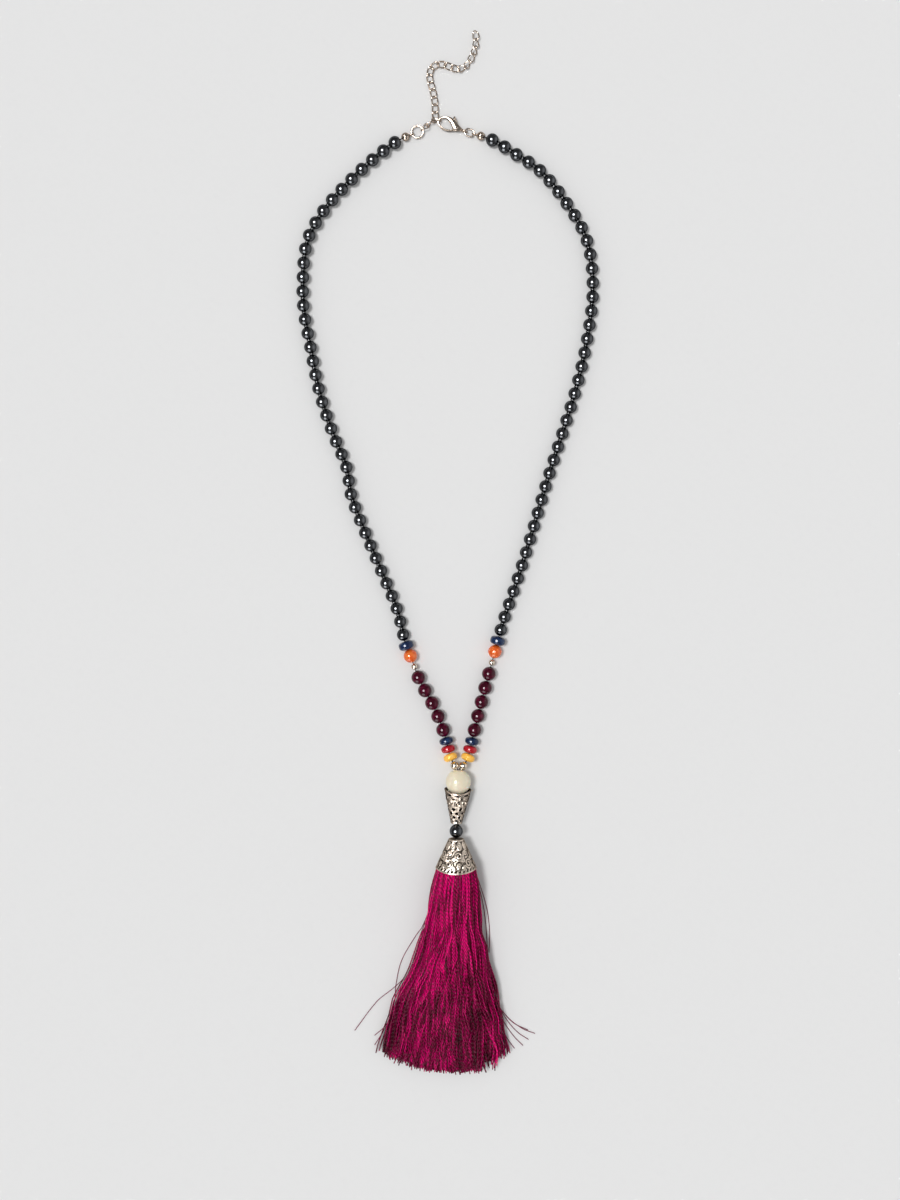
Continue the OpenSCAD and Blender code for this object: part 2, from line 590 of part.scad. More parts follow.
module openwork_cone() {
    collar = 0.4;
    thinning = (cone_mouth_in - cone_end_in) / cone_l;
    color("#8d8177") place(mouth_at, cone_dir) difference() {
        union() {
            difference() {
                cylinder(r1 = cone_r, r2 = cone_end_r, h = cone_l);
                translate([0, 0, -1])
                    cylinder(r1 = cone_mouth_in + thinning, r2 = cone_end_in - thinning, h = cone_l + 2);
            }
            translate([0, 0, 0.35]) ring(cone_r - 0.25, 0.7);
            for (row = CONE_ROWS, column = [0:CONE_COLUMNS - 1]) if (row[ROW_RING] == 1)
                on_cone(row, column) translate([0, 0, -cone_wall / 2])
                    cylinder(d = hole_d(row) + 2 * collar, h = cone_wall / 2 + collar / 2);
        }
        for (row = CONE_ROWS, column = [0:CONE_COLUMNS - 1]) on_cone(row, column)
            cylinder(d = hole_d(row), h = 3 * cone_wall, center = true);
    }
}

// Columns of CAP_SCROLLS: share of the cap's length from its narrow end and turn round it in columns, of
// the scroll's eye, its radius as a share of the cap's length, the angle it starts at and its turns
CAP_COLUMNS = 5;
S_AT = 0;
S_TURN = 1;
S_RADIUS = 2;
S_FROM = 3;
S_TURNS = 4;
CAP_SCROLLS = [
    [0.5, 0.1, 0.16, 250, 1.7], [0.73, 0.6, 0.16, 70, -1.7], [0.42, 0.66, 0.09, 60, 1.3],
    [0.62, 0.86, 0.08, 200, -1.3], [0.8, 0.12, 0.08, 240, -1.3]
];
// Sides of the cap, and of the tassel's head that fits in it
CAP_SIDES = 28;
// Leaf loops at the narrow end, and strokes along the rim
CAP_LEAVES = 10;
CAP_STROKES = 20;
function cap_radius(share) = mix(cap_end_r, cap_r, share);
// A point on the cap's face, from a length down it and a turn in degrees
function on_cap(down, turn) =
    let (r = cap_radius(down / cap_l)) [r * cos(turn), r * sin(turn), down];
// Outward direction there
cap_slope = atan((cap_r - cap_end_r) / cap_l);
function cap_out_at(turn) = [cos(cap_slope) * cos(turn), cos(cap_slope) * sin(turn), -sin(cap_slope)];
// A raised wire along points given as a length down the face and a length round it from a first turn
module raised(points, turn) {
    at = [for (p = points) turn + p[1] / cap_radius(p[0] / cap_l) * 180 / PI];
    tube([for (i = [0:len(points) - 1]) on_cap(points[i][0], at[i])], relief_h, 3,
        false, [for (a = at) cap_out_at(a)]);
}
SCROLL_STEPS = 14;
function scroll(row) = [for (k = [0:SCROLL_STEPS])
    let (
        part = k / SCROLL_STEPS,
        r = row[S_RADIUS] * cap_l * (1 - 0.65 * part),
        a = row[S_FROM] + 360 * row[S_TURNS] * part
    )
    [row[S_AT] * cap_l + r * cos(a), r * sin(a)]];
function leaf(from, to, half) = [for (k = [0:6])
    let (a = -150 + 50 * k, m = (from + to) / 2, h = (to - from) / 2) [m - h * cos(a), half * sin(a)]];
module tassel_cap() {
    leaf_half = PI * cap_radius(0.2) / CAP_LEAVES * 0.62;
    $fn = CAP_SIDES;
    color("#b8aa9e") place(cap_end_at, cap_dir) {
        difference() {
            cylinder(r1 = cap_end_r, r2 = cap_r, h = cap_l);
            translate([0, 0, cap_wall]) cylinder(r1 = cap_end_r - cap_wall, r2 = cap_r - cap_wall,
                h = cap_l - cap_wall + 0.01);
            translate([0, 0, -1]) cylinder(r = cap_hole_r, h = 3 * cap_wall);
        }
        for (rim = [[cap_l - relief_h, cap_r], [relief_h, cap_end_r]]) rotate_extrude()
            translate([rim[1] - relief_h, rim[0]]) circle(r = relief_h, $fn = 6);
        for (row = CAP_SCROLLS, column = [0:CAP_COLUMNS - 1])
            raised(scroll(row), (column + row[S_TURN]) * 360 / CAP_COLUMNS);
        for (k = [0:CAP_LEAVES - 1])
            raised(leaf(0.07 * cap_l, 0.32 * cap_l, leaf_half), k * 360 / CAP_LEAVES);
        for (k = [0:CAP_STROKES - 1])
            raised([[0.88 * cap_l, -0.4], [0.965 * cap_l, 0.4]], k * 360 / CAP_STROKES);
    }
}

// Columns of TASSEL_SECTIONS: share of the tassel's length, shift of its middle to -X as a share of its
// width, its width as a share of the spread width, its thickness between rim (1) and end (0), and how far
// it is held up, between level with the rim's middle (1) and flat on the surface (0)
T_AT = 0;
T_SHIFT = 1;
T_WIDE = 2;
T_THICK = 3;
T_LIFT = 4;
TASSEL_SECTIONS = [
    [-0.025, 0, 0.2, 0.66, 1], [0, 0, 0.245, 0.88, 1], [0.02, 0, 0.296, 0.94, 1], [0.12, 0.005, 0.33, 0.9, 0.8],
    [0.29, 0.02, 0.42, 0.65, 0.4], [0.47, 0.045, 0.6, 0.42, 0.16], [0.65, 0.08, 0.8, 0.25, 0.05],
    [0.78, 0.095, 0.92, 0.15, 0.01], [0.9, 0.11, 1, 0.06, 0]
];
head_r = cap_r - cap_wall - clear;
LOCK_SIDES = 8;
function lock_ring(at, wide, thick) = [for (k = [0:LOCK_SIDES - 1])
    let (a = (k + 0.5) * 360 / LOCK_SIDES) at - [wide / 2 * cos(a), 0, thick / 2 * sin(a)]];
module tassel_lock(u, layer) {
    drop_end = 1 - 0.1 * u ^ 2;
    rows = concat(TASSEL_SECTIONS, [[drop_end, 0.115, 1 + 0.02 * abs(u), 0, 0]]);
    skin([for (row = rows)
        let (
            wide = row[T_WIDE] * tassel_w,
            thick = mix(tassel_end_h, 2 * head_r, row[T_THICK]),
            lock_w = wide * 1.9 / lock_n,
            dome = sqrt(max(0.15, 1 - u ^ 2)),
            half = thick * mix(1, dome, row[T_THICK] * 0.6 + 0.2) / 2,
            floor_z = mix(0, rim_z - thick / 2, row[T_LIFT])
        )
        lock_ring([rim_at[0] - row[T_SHIFT] * wide + u * (wide - lock_w) / 2,
            rim_at[1] - row[T_AT] * tassel_l + 0.2 * u - 0.3 * layer,
            floor_z + mix(0, thick / 2 - half, row[T_THICK]) + half * (layer == 0 ? 0.6 : 1.35) - 0.1],
            lock_w, half * 1.2)]);
}
module tassel() {
    color("#a00b58") difference() {
        union() {
            place(rim_at - cap_dir * (cap_l - cap_wall - clear), cap_dir)
                cylinder(r1 = cap_end_r - cap_wall - clear, r2 = head_r, h = cap_l - cap_wall - clear + 1,
                    $fn = CAP_SIDES);
            for (layer = [0, 1], k = [0:lock_n - 1]) tassel_lock(2 * k / (lock_n - 1) - 1, layer);
        }
        place(cap_end_at, cap_dir) cylinder(r = cap_hole_r, h = knot_depth + 2, $fn = 12);
    }
}

dark_beads("left");  // dark_beads_left
dark_beads("right");  // dark_beads_right
strand_thread("left");  // thread_left
strand_thread("right");  // thread_right
coloured_turned("left", RONDELLE, "#1f2f5a", 3);  // navy_rondelle_left
coloured_round("left", ORANGE, "#f07020");  // orange_bead_left
coloured_round("left", SPACER, "#c9bfb4");  // silver_spacer_left
coloured_round("left", PLUM, "#4a0d2c");  // plum_bead_1_left
coloured_round("left", PLUM + 1, "#4a0d2c");  // plum_bead_2_left
coloured_round("left", PLUM + 2, "#4a0d2c");  // plum_bead_3_left
coloured_round("left", PLUM + 3, "#4a0d2c");  // plum_bead_4_left
coloured_round("left", PLUM + 4, "#4a0d2c");  // plum_bead_5_left
coloured_turned("left", NAVY_DISC, "#1f2f5a", 2.5);  // navy_disc_left
coloured_turned("left", RED_DISC, "#b3262d", 2.5);  // red_disc_left
coloured_turned("left", YELLOW_DISC, "#fdbc45", 2.5);  // yellow_disc_left
coloured_round("left", ROUND, "#c9bfb4");  // silver_round_left
knot_cover("left");  // knot_cover_left
coloured_turned("right", RONDELLE, "#1f2f5a", 3);  // navy_rondelle_right
coloured_round("right", ORANGE, "#f07020");  // orange_bead_right
coloured_round("right", SPACER, "#c9bfb4");  // silver_spacer_right
coloured_round("right", PLUM, "#4a0d2c");  // plum_bead_1_right
coloured_round("right", PLUM + 1, "#4a0d2c");  // plum_bead_2_right
coloured_round("right", PLUM + 2, "#4a0d2c");  // plum_bead_3_right
coloured_round("right", PLUM + 3, "#4a0d2c");  // plum_bead_4_right
coloured_round("right", PLUM + 4, "#4a0d2c");  // plum_bead_5_right
coloured_turned("right", NAVY_DISC, "#1f2f5a", 2.5);  // navy_disc_right
coloured_turned("right", RED_DISC, "#b3262d", 2.5);  // red_disc_right
coloured_turned("right", YELLOW_DISC, "#fdbc45", 2.5);  // yellow_disc_right
coloured_round("right", ROUND, "#c9bfb4");  // silver_round_right
knot_cover("right");  // knot_cover_right
jump_ring();
extender_chain();
clasp_body();
clasp_lever();
oval_ring();
pale_bead();
openwork_cone();
drop_bead();
tassel_cap();
tassel();
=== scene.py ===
"""A tassel necklace on a pale floor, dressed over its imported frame.

Sizes are in millimetres in the dataclass fields and tables, and in metres in every mesh.
"""

import json
import logging
import math
from dataclasses import dataclass, field
from enum import Enum

import bmesh
import bpy
import numpy as np
from mathutils import Matrix, Quaternion, Vector


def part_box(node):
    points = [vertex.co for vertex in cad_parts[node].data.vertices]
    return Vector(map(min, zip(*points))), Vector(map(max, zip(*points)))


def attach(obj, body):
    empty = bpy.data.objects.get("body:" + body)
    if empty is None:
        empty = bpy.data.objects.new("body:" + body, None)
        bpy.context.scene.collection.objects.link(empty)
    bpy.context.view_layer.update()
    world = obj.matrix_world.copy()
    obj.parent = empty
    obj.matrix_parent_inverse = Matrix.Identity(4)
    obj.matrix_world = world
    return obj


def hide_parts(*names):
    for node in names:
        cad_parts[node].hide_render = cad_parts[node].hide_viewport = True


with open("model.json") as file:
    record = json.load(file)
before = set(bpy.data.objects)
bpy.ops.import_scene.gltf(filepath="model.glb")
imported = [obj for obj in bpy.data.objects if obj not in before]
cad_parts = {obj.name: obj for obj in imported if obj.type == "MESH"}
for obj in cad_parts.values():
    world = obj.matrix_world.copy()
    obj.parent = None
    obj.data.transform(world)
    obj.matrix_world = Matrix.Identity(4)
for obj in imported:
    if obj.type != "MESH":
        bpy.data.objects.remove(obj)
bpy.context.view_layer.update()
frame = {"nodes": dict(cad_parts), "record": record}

log = logging.getLogger("necklace")

MM = 0.001
TURN = 2 * math.pi
UP = Vector((0, 0, 1))
# A thread's waves along it, and how often strands of them change tone across, along and through the tassel
WAVE_MM = 16
STRANDS_PER_MM = (0.75, 0.055, 0.4)


class Body(Enum):
    """The moving bodies of the necklace."""

    NECKLACE = "necklace"
    LEVER = "lever"


class Side(Enum):
    """The two strands, as the camera sees them."""

    LEFT = "left"
    RIGHT = "right"


Socket = bpy.types.NodeSocket


def linear(colour: str) -> tuple[float, float, float, float]:
    """Turns an sRGB hex colour into linear light.

    Args:
        colour: Six hex digits after a hash sign.

    Returns:
        Red, green, blue and an alpha of one.
    """
    parts = [int(colour[i : i + 2], 16) / 255 for i in (1, 3, 5)]
    return tuple(c / 12.92 if c <= 0.04045 else ((c + 0.055) / 1.055) ** 2.4 for c in parts) + (1.0,)


class Nodes:
    """A node tree that is being filled."""

    def __init__(self, tree: bpy.types.NodeTree) -> None:
        """Takes the tree."""
        self.tree = tree

    def feed(self, node: bpy.types.Node, inputs: dict) -> None:
        """Links or sets a node's inputs.

        Args:
            node: The node.
            inputs: Output sockets or constants, by the name or number of the input that takes them.
        """
        for key, value in inputs.items():
            if isinstance(value, Socket):
                self.tree.links.new(value, node.inputs[key])
            else:
                node.inputs[key].default_value = value

    def add(self, kind: str, inputs: dict | None = None, **settings) -> bpy.types.Node:
        """Adds a node.

        Args:
            kind: Its type's identifier.
            inputs: What feed() takes.
            **settings: Values for the node's own properties.

        Returns:
            The new node.
        """
        node = self.tree.nodes.new(kind)
        for name, value in settings.items():
            setattr(node, name, value)
        self.feed(node, inputs or {})
        return node

    def math(self, operation: str, *terms: Socket | float, clamp: bool = False) -> Socket:
        """Returns the result of a math node, kept from 0 to 1 if clamp is set."""
        return self.add("ShaderNodeMath", dict(enumerate(terms)), operation=operation, use_clamp=clamp).outputs[0]

    def vector(self, operation: str, *terms: Socket | tuple) -> Socket:
        """Returns the result of a vector math node."""
        return self.add("ShaderNodeVectorMath", dict(enumerate(terms)), operation=operation).outputs[0]

    def scaled(self, vector: Socket, by: Socket) -> Socket:
        """Returns a vector times a number."""
        return self.add("ShaderNodeVectorMath", {0: vector, "Scale": by}, operation="SCALE").outputs[0]

    def ramp(self, value: Socket, source: tuple, target: tuple = (0.0, 1.0), smooth: bool = True) -> Socket:
        """Maps a range of values onto another one.

        Args:
            value: The value's socket.
            source: The range's two ends.
            target: What each end becomes.
            smooth: Whether it eases in and out.

        Returns:
            The result's socket.
        """
        ends = {"From Min": source[0], "From Max": source[1], "To Min": target[0], "To Max": target[1]}
        easing = "SMOOTHSTEP" if smooth else "LINEAR"
        return self.add("ShaderNodeMapRange", {"Value": value} | ends, interpolation_type=easing).outputs["Result"]


class Surface(Nodes):
    """A material's nodes round its shader."""

    def __init__(self, material: bpy.types.Material) -> None:
        """Takes a new material."""
        super().__init__(material.node_tree)
        self.shader = material.node_tree.nodes["Principled BSDF"]

    def set(self, inputs: dict) -> None:
        """Links or sets the shader's inputs."""
        self.feed(self.shader, inputs)

    def attribute(self, name: str, output: str = "Fac") -> Socket:
        """Returns the socket of a named attribute."""
        return self.add("ShaderNodeAttribute", attribute_name=name).outputs[output]

    def mixed(self, share: Socket, first: str, second: str) -> Socket:
        """Returns a mix of two sRGB hex colours."""
        inputs = {0: share, 6: linear(first), 7: linear(second)}
        return self.add("ShaderNodeMix", inputs, data_type="RGBA").outputs[2]

    def blotches(self, size_mm: float, detail: float, low: float = 0.3, high: float = 0.7) -> Socket:
        """Makes a patchy mask from noise in object space.

        Args:
            size_mm: The size of a patch.
            detail: Octaves of finer patches.
            low: Noise value where the mask starts.
            high: Noise value where the mask is full.

        Returns:
            The mask's socket, from 0 to 1.
        """
        place = self.add("ShaderNodeTexCoord").outputs["Object"]
        look = {"Vector": place, "Scale": 1 / (size_mm * MM), "Detail": detail, "Roughness": 0.6}
        return self.ramp(self.add("ShaderNodeTexNoise", look).outputs["Fac"], (low, high))

    def bump(self, height: Socket, deep_mm: float) -> None:
        """Feeds a height into the shader's normal.

        Args:
            height: The height's socket, from 0 to 1.
            deep_mm: The height difference of that range.
        """
        node = self.add("ShaderNodeBump", {"Height": height, "Distance": deep_mm * MM, "Strength": 1.0})
        self.set({"Normal": node.outputs["Normal"]})


@dataclass(frozen=True)
class Finish:
    """What a piece is made of, and what that gives the eye."""

    name: str
    roughness: float

    def material(self) -> bpy.types.Material:
        """Returns the finish's material, made once."""
        made = bpy.data.materials.get(self.name)
        if not made:
            made = bpy.data.materials.new(self.name)
            made.use_nodes = True
            self.fill(Surface(made))
        return made

    def fill(self, surface: Surface) -> None:
        """Fills a new material's nodes."""
        surface.set({"Roughness": self.roughness})


@dataclass(frozen=True)
class Polished(Finish):
    """A tumbled and polished bead of glass, stone or resin: clear highlights over a slightly uneven colour."""

    colour: str
    vein: str
    vein_mm: float
    vein_low: float = 0.45
    vein_high: float = 0.7
    metallic: float = 0.0
    coat: float = 0.0
    subsurface: float = 0.0
    gloss: float = 0.5
    edge: str = "#ffffff"

    def fill(self, surface: Surface) -> None:
        """Fills a new material's nodes.

        Args:
            surface: The nodes.
        """
        super().fill(surface)
        veins = surface.blotches(self.vein_mm, 4, self.vein_low, self.vein_high)
        surface.set({
            "Metallic": self.metallic, "Specular IOR Level": self.gloss, "Specular Tint": linear(self.edge),
            "Coat Weight": self.coat, "Coat Roughness": 0.05, "Subsurface Weight": self.subsurface,
            "Subsurface Scale": 1.2 * MM, "Base Color": surface.mixed(veins, self.colour, self.vein)})
        surface.bump(surface.blotches(0.5 * self.vein_mm, 2), 0.006)


@dataclass(frozen=True)
class Plated(Finish):
    """Plated base metal: bright on its high places and stained in its hollows and in patches. An attribute marks the
    hollows' patina and, on the castings, painted shade on their sides.
    """

    bright: str
    # The colour of stains and patina, and of the painted shade on the castings' sides
    stain_and_painted_shade: str
    stain_mm: float
    stain_low: float = 0.5
    stain_high: float = 0.8
    grain_mm: float = 0.3
    grain_deep_mm: float = 0.01
    edge: str = "#a8998a"
    stained_roughness: float = 0.35

    def fill(self, surface: Surface) -> None:
        """Fills a new material's nodes.

        Args:
            surface: The nodes.
        """
        patches = surface.blotches(self.stain_mm, 3, self.stain_low, self.stain_high)
        dark = surface.math("MAXIMUM", surface.attribute("patina"), patches)
        rough = (self.roughness, min(1.0, self.roughness + self.stained_roughness))
        surface.set({
            "Metallic": 1.0, "Specular Tint": linear(self.edge),
            "Roughness": surface.ramp(dark, (0.0, 1.0), rough, smooth=False),
            "Base Color": surface.mixed(dark, self.bright, self.stain_and_painted_shade)})
        surface.bump(surface.blotches(self.grain_mm, 2), self.grain_deep_mm)


@dataclass(frozen=True)
class Spun(Finish):
    """Plied thread: two twisted plies, whose turn the attributes round and run carry, and a dye that varies. The
    attribute shade adds painted shade, and along the plies there is painted shade and highlight.
    """

    colour: str
    deep: str
    gloss: float
    ply_pitch_mm: float
    ply_deep_mm: float

    def fill(self, surface: Surface) -> None:
        """Fills a new material's nodes.

        Args:
            surface: The nodes.
        """
        super().fill(surface)
        # Height of two plies: |sin(angle + pi run / pitch)|, from the ring position and the length
        x, y, _ = surface.add("ShaderNodeSeparateXYZ", {0: surface.attribute("round", "Vector")}).outputs
        angle = surface.math("MULTIPLY", surface.attribute("run"), math.pi / (self.ply_pitch_mm * MM))
        first = surface.math("MULTIPLY", x, surface.math("SINE", angle))
        height = surface.math("ABSOLUTE", surface.math("MULTIPLY_ADD", y, surface.math("COSINE", angle), first))
        surface.bump(height, self.ply_deep_mm)
        # Painted shade in the groove between the plies and painted highlight on their backs: the groove is darker than
        # the backs
        back = surface.math("MULTIPLY_ADD", surface.math("POWER", height, 2.0), 1.3, 0.04)
        dye = surface.math("MULTIPLY", surface.attribute("shade"), back, clamp=True)
        surface.set({"Specular IOR Level": self.gloss, "Base Color": surface.mixed(dye, self.deep, self.colour)})


@dataclass(frozen=True)
class Paper(Finish):
    """Matt seamless background paper: plain, with the faintest tooth."""

    colour: str

    def fill(self, surface: Surface) -> None:
        """Fills a new material's nodes.

        Args:
            surface: The nodes.
        """
        super().fill(surface)
        surface.set({"Base Color": linear(self.colour), "Specular IOR Level": 0.1})
        surface.bump(surface.blotches(0.6, 2), 0.004)


# Hematite-look glass: a dark metallic coat that mirrors the room
HEMATITE = Polished("hematite_coated_glass", 0.08, "#525355", "#5c5e60", 3.0, metallic=1.0, edge="#8c8d8e")
# Black glass seed beads, moulded and fire-polished
BLACK_GLASS = Polished("black_seed_glass", 0.07, "#0b0c0f", "#16181c", 1.0, coat=0.8, gloss=0.8)
NAVY_STONE = Polished("dyed_navy_stone", 0.16, "#101f42", "#1d395e", 1.6, coat=0.2, gloss=0.3)
ORANGE_RESIN = Polished("polished_orange_resin", 0.24, "#e25c18", "#ec7a34", 2.5, coat=0.2, subsurface=0.15)
PLUM_STONE = Polished("polished_plum_agate", 0.1, "#3a0216", "#5e0a2c", 2.2, gloss=0.25)
RED_STONE = Polished("dyed_red_stone", 0.18, "#a80f1e", "#be222e", 1.5, coat=0.1, gloss=0.35)
YELLOW_STONE = Polished("dyed_yellow_stone", 0.32, "#ffc04a", "#ffd076", 2.0, subsurface=0.1, gloss=0.3)
IVORY_STONE = Polished("ivory_soapstone", 0.32, "#e7ddc3", "#ede4cd", 4.0, subsurface=0.2, gloss=0.4)
# Nickel plating on small cast and drawn pieces, warm where it has yellowed
NICKEL = Plated("nickel_plate", 0.12, "#b9aa9c", "#574536", 1.2, 0.52, 0.88, 0.4, 0.002, edge="#86776a")
BRIGHT_SILVER = Plated("rolled_silver_plate", 0.1, "#d8ccbc", "#8a7663", 1.5, 0.55, 0.9, 0.4, 0.003)
# Cast metal with an oxidised ground that was wiped off its high places
ANTIQUE = Plated("antique_silver_cast", 0.31, "#e2d3c3", "#20140c", 1.1, 0.64, 0.88, 0.25, 0.005)
# Waxed nylon bead thread, and the tassel's shiny two-ply rayon
NYLON = Spun("waxed_nylon_thread", 0.55, "#33241f", "#1c1412", 0.2, 0.8, 0.06)
RAYON = Spun("twisted_rayon_thread", 0.18, "#ff0282", "#2a0006", 0.15, 2.1, 0.16)
PAPER = Paper("background_paper", 0.9, "#e6e6e6")


def mesh_object(name: str, points: np.ndarray, faces: list, edges: list | None = None) -> bpy.types.Object:
    """Makes an object from points in metres.

    Args:
        name: The object's name.
        points: One row of three numbers a point.
        faces: Point numbers of each face.
        edges: Point numbers of each loose edge.

    Returns:
        The object, linked to the scene.
    """
    mesh = bpy.data.meshes.new(name)
    mesh.from_pydata([tuple(map(float, p)) for p in points], edges or [], faces)
    made = bpy.data.objects.new(name, mesh)
    bpy.context.scene.collection.objects.link(made)
    return made


def finish_mesh(obj: bpy.types.Object, merge_mm: float = 0.0005) -> bpy.types.Object:
    """Merges an object's doubles, turns its faces outwards and smooths it.

    Args:
        obj: The object.
        merge_mm: Distance within which points are one.

    Returns:
        The same object.
    """
    shape = bmesh.new()
    shape.from_mesh(obj.data)
    bmesh.ops.remove_doubles(shape, verts=shape.verts, dist=merge_mm * MM)
    bmesh.ops.recalc_face_normals(shape, faces=shape.faces)
    for face in shape.faces:
        face.smooth = True
    shape.to_mesh(obj.data)
    shape.free()
    return obj


def note(obj: bpy.types.Object, name: str, values: list | np.ndarray, kind: str = "FLOAT") -> None:
    """Stores an attribute of a mesh's points.

    Args:
        obj: The object.
        name: The attribute's name.
        values: Its value for each point.
        kind: Its type.
    """
    column = "vector" if kind == "FLOAT_VECTOR" else "value"
    obj.data.attributes.new(name, kind, "POINT").data.foreach_set(column, np.array(values).ravel())


def chained(name: str, runs: list[list[Vector]], closed: bool = False) -> bpy.types.Object:
    """Makes an object of edges.

    Args:
        name: Its name.
        runs: The points of each run of edges, in metres.
        closed: Whether each run joins its own start.

    Returns:
        The object.
    """
    points, edges = [], []
    for run in runs:
        first, last = len(points), len(points) + len(run) - 1
        edges += [(i, i + 1) for i in range(first, last)] + ([(last, first)] if closed else [])
        points += run
    return mesh_object(name, np.array(points), [], edges)


def bands(rings: list, closed: bool = False) -> list[tuple]:
    """Makes the faces between rings of points.

    Args:
        rings: Point numbers of each ring, in step with the next one's.
        closed: Whether the last ring joins the first.

    Returns:
        Point numbers of each face.
    """
    after = rings[1:] + (rings[:1] if closed else [])
    return [(a[i], b[i], b[(i + 1) % len(a)], a[(i + 1) % len(a)]) for a, b in zip(rings, after) for i in range(len(a))]


def grid(rings: int, count: int) -> list[range]:
    """Returns the point numbers of rings of so many points each."""
    return [range(i * count, (i + 1) * count) for i in range(rings)]


def bake(obj: bpy.types.Object) -> None:
    """Makes an object's modifiers part of its mesh."""
    bpy.context.view_layer.update()
    graph = bpy.context.evaluated_depsgraph_get()
    mesh = bpy.data.meshes.new_from_object(obj.evaluated_get(graph), preserve_all_data_layers=True, depsgraph=graph)
    obj.modifiers.clear()
    obj.data = mesh


def turned(profile: list[tuple[float, float]], segments: int) -> tuple[np.ndarray, list]:
    """Turns a closed profile round the Z axis.

    Args:
        profile: Radius and height of each point, in millimetres, round the outline once.
        segments: Steps round the axis.

    Returns:
        The points in metres, and the faces.
    """
    points = [
        (r * math.cos(TURN * k / segments) * MM, r * math.sin(TURN * k / segments) * MM, z * MM)
        for k in range(segments) for r, z in profile
    ]
    return np.array(points), bands(grid(segments, len(profile)), closed=True)


def bead_profile(
    diameter: float, length: float, bore: float, power: float = 2.0, steps: int = 18
) -> list[tuple[float, float]]:
    """Gives a drilled bead's closed profile with softened bore edges.

    Args:
        diameter: The bead's diameter, in millimetres.
        length: Its length along the bore.
        bore: The bore's diameter.
        power: Shape of its outline: 2 is an ellipse, more is squarer.
        steps: Steps along the outline.

    Returns:
        Radius and height of each point.
    """
    hole = bore / 2
    if abs(diameter - length) < 0.2:
        edge = math.acos(min(1.0, (hole + 0.12) / (diameter / 2)))
        outer = [(diameter / 2 * math.cos(a), length / 2 * math.sin(a))
                 for a in np.linspace(-edge, edge, steps)]
    else:
        outer = []
        for a in np.linspace(-math.pi / 2 * 0.93, math.pi / 2 * 0.93, steps):
            c, s = math.cos(a), math.sin(a)
            outer.append((hole + (diameter / 2 - hole) * c ** (2 / power),
                          length / 2 * math.copysign(abs(s) ** (2 / power), s)))
    top = outer[-1][1]
    soft, deep = 0.03, 0.15
    inner = [(hole + soft, top - soft), (hole, top - deep), (hole, 0.0), (hole, deep - top), (hole + soft, soft - top)]
    return outer + inner


def loose_parts(node: str) -> list[np.ndarray]:
    """Splits a CAD node's mesh into its loose solids.

    Args:
        node: The node's name.

    Returns:
        The points of each solid, in metres.
    """
    mesh = frame["nodes"][node].data
    points = np.array([v.co for v in mesh.vertices])
    _, same = np.unique(np.round(points / (0.001 * MM)), axis=0, return_inverse=True)
    same = same.reshape(-1)
    parent = list(range(int(same.max()) + 1))

    def root(i: int) -> int:
        """Follows a point to its solid's first point."""
        while parent[i] != i:
            parent[i] = parent[parent[i]]
            i = parent[i]
        return i

    for face in mesh.polygons:
        ids = [root(int(same[v])) for v in face.vertices]
        for other in ids[1:]:
            parent[other] = ids[0]
            ids = [root(i) for i in ids]
    owner = np.array([root(int(i)) for i in same])
    return [points[owner == r] for r in np.unique(owner)]


def eased(value: float) -> float:
    """Eases a value in and out between 0 and 1, and keeps it there."""
    share = max(0.0, min(1.0, value))
    return share * share * (3 - 2 * share)


def middle(points: np.ndarray) -> Vector:
    """Returns the middle of the points' box."""
    return Vector((points.min(axis=0) + points.max(axis=0)) / 2)


def main_axes(points: np.ndarray) -> Quaternion:
    """Gives the turn of a solid from its own spread: X along its length and Z along its thinnest side.

    Args:
        points: The solid's points.

    Returns:
        The turn from the axes X, Y and Z to the solid's.
    """
    unique = np.unique(np.round(points / (0.001 * MM)), axis=0)
    values, vectors = np.linalg.eigh(np.cov((unique - unique.mean(axis=0)).T))
    x, z = Vector(vectors[:, 2]), Vector(vectors[:, 0])
    if z.z < 0:
        z.negate()
    y = z.cross(x)
    return Matrix((x, y, z)).transposed().to_quaternion()


def along(direction: Vector, up: Vector = UP) -> Quaternion:
    """Gives a turn that takes Z to a direction and keeps X level.

    Args:
        direction: Where Z points.
        up: What the turned Y leans towards.

    Returns:
        The turn.
    """
    z = direction.normalized()
    x = up.cross(z)
    x = x.normalized() if x.length > 1e-6 else Vector((1, 0, 0))
    return Matrix((x, z.cross(x), z)).transposed().to_quaternion()


def smooth_path(points: list[Vector], steps: int) -> list[Vector]:
    """Runs a smooth curve through points.

    Args:
        points: The points, in any unit.
        steps: Steps between two of them.

    Returns:
        The finer points.
    """
    made: list[Vector] = []
    for i in range(len(points) - 1):
        a, b = points[i], points[i + 1]
        before, after = points[max(i - 1, 0)], points[min(i + 2, len(points) - 1)]
        span = (b - a).length
        slope_a = (b - before) / max((b - a).length + (a - before).length, 1e-9) * span
        slope_b = (after - a) / max((after - b).length + (b - a).length, 1e-9) * span
        for k in range(steps):
            t = k / steps
            made.append(a * (2 * t**3 - 3 * t**2 + 1) + b * (3 * t**2 - 2 * t**3)
                        + slope_a * (t**3 - 2 * t**2 + t) + slope_b * (t**3 - t**2))
    return made + [points[-1]]


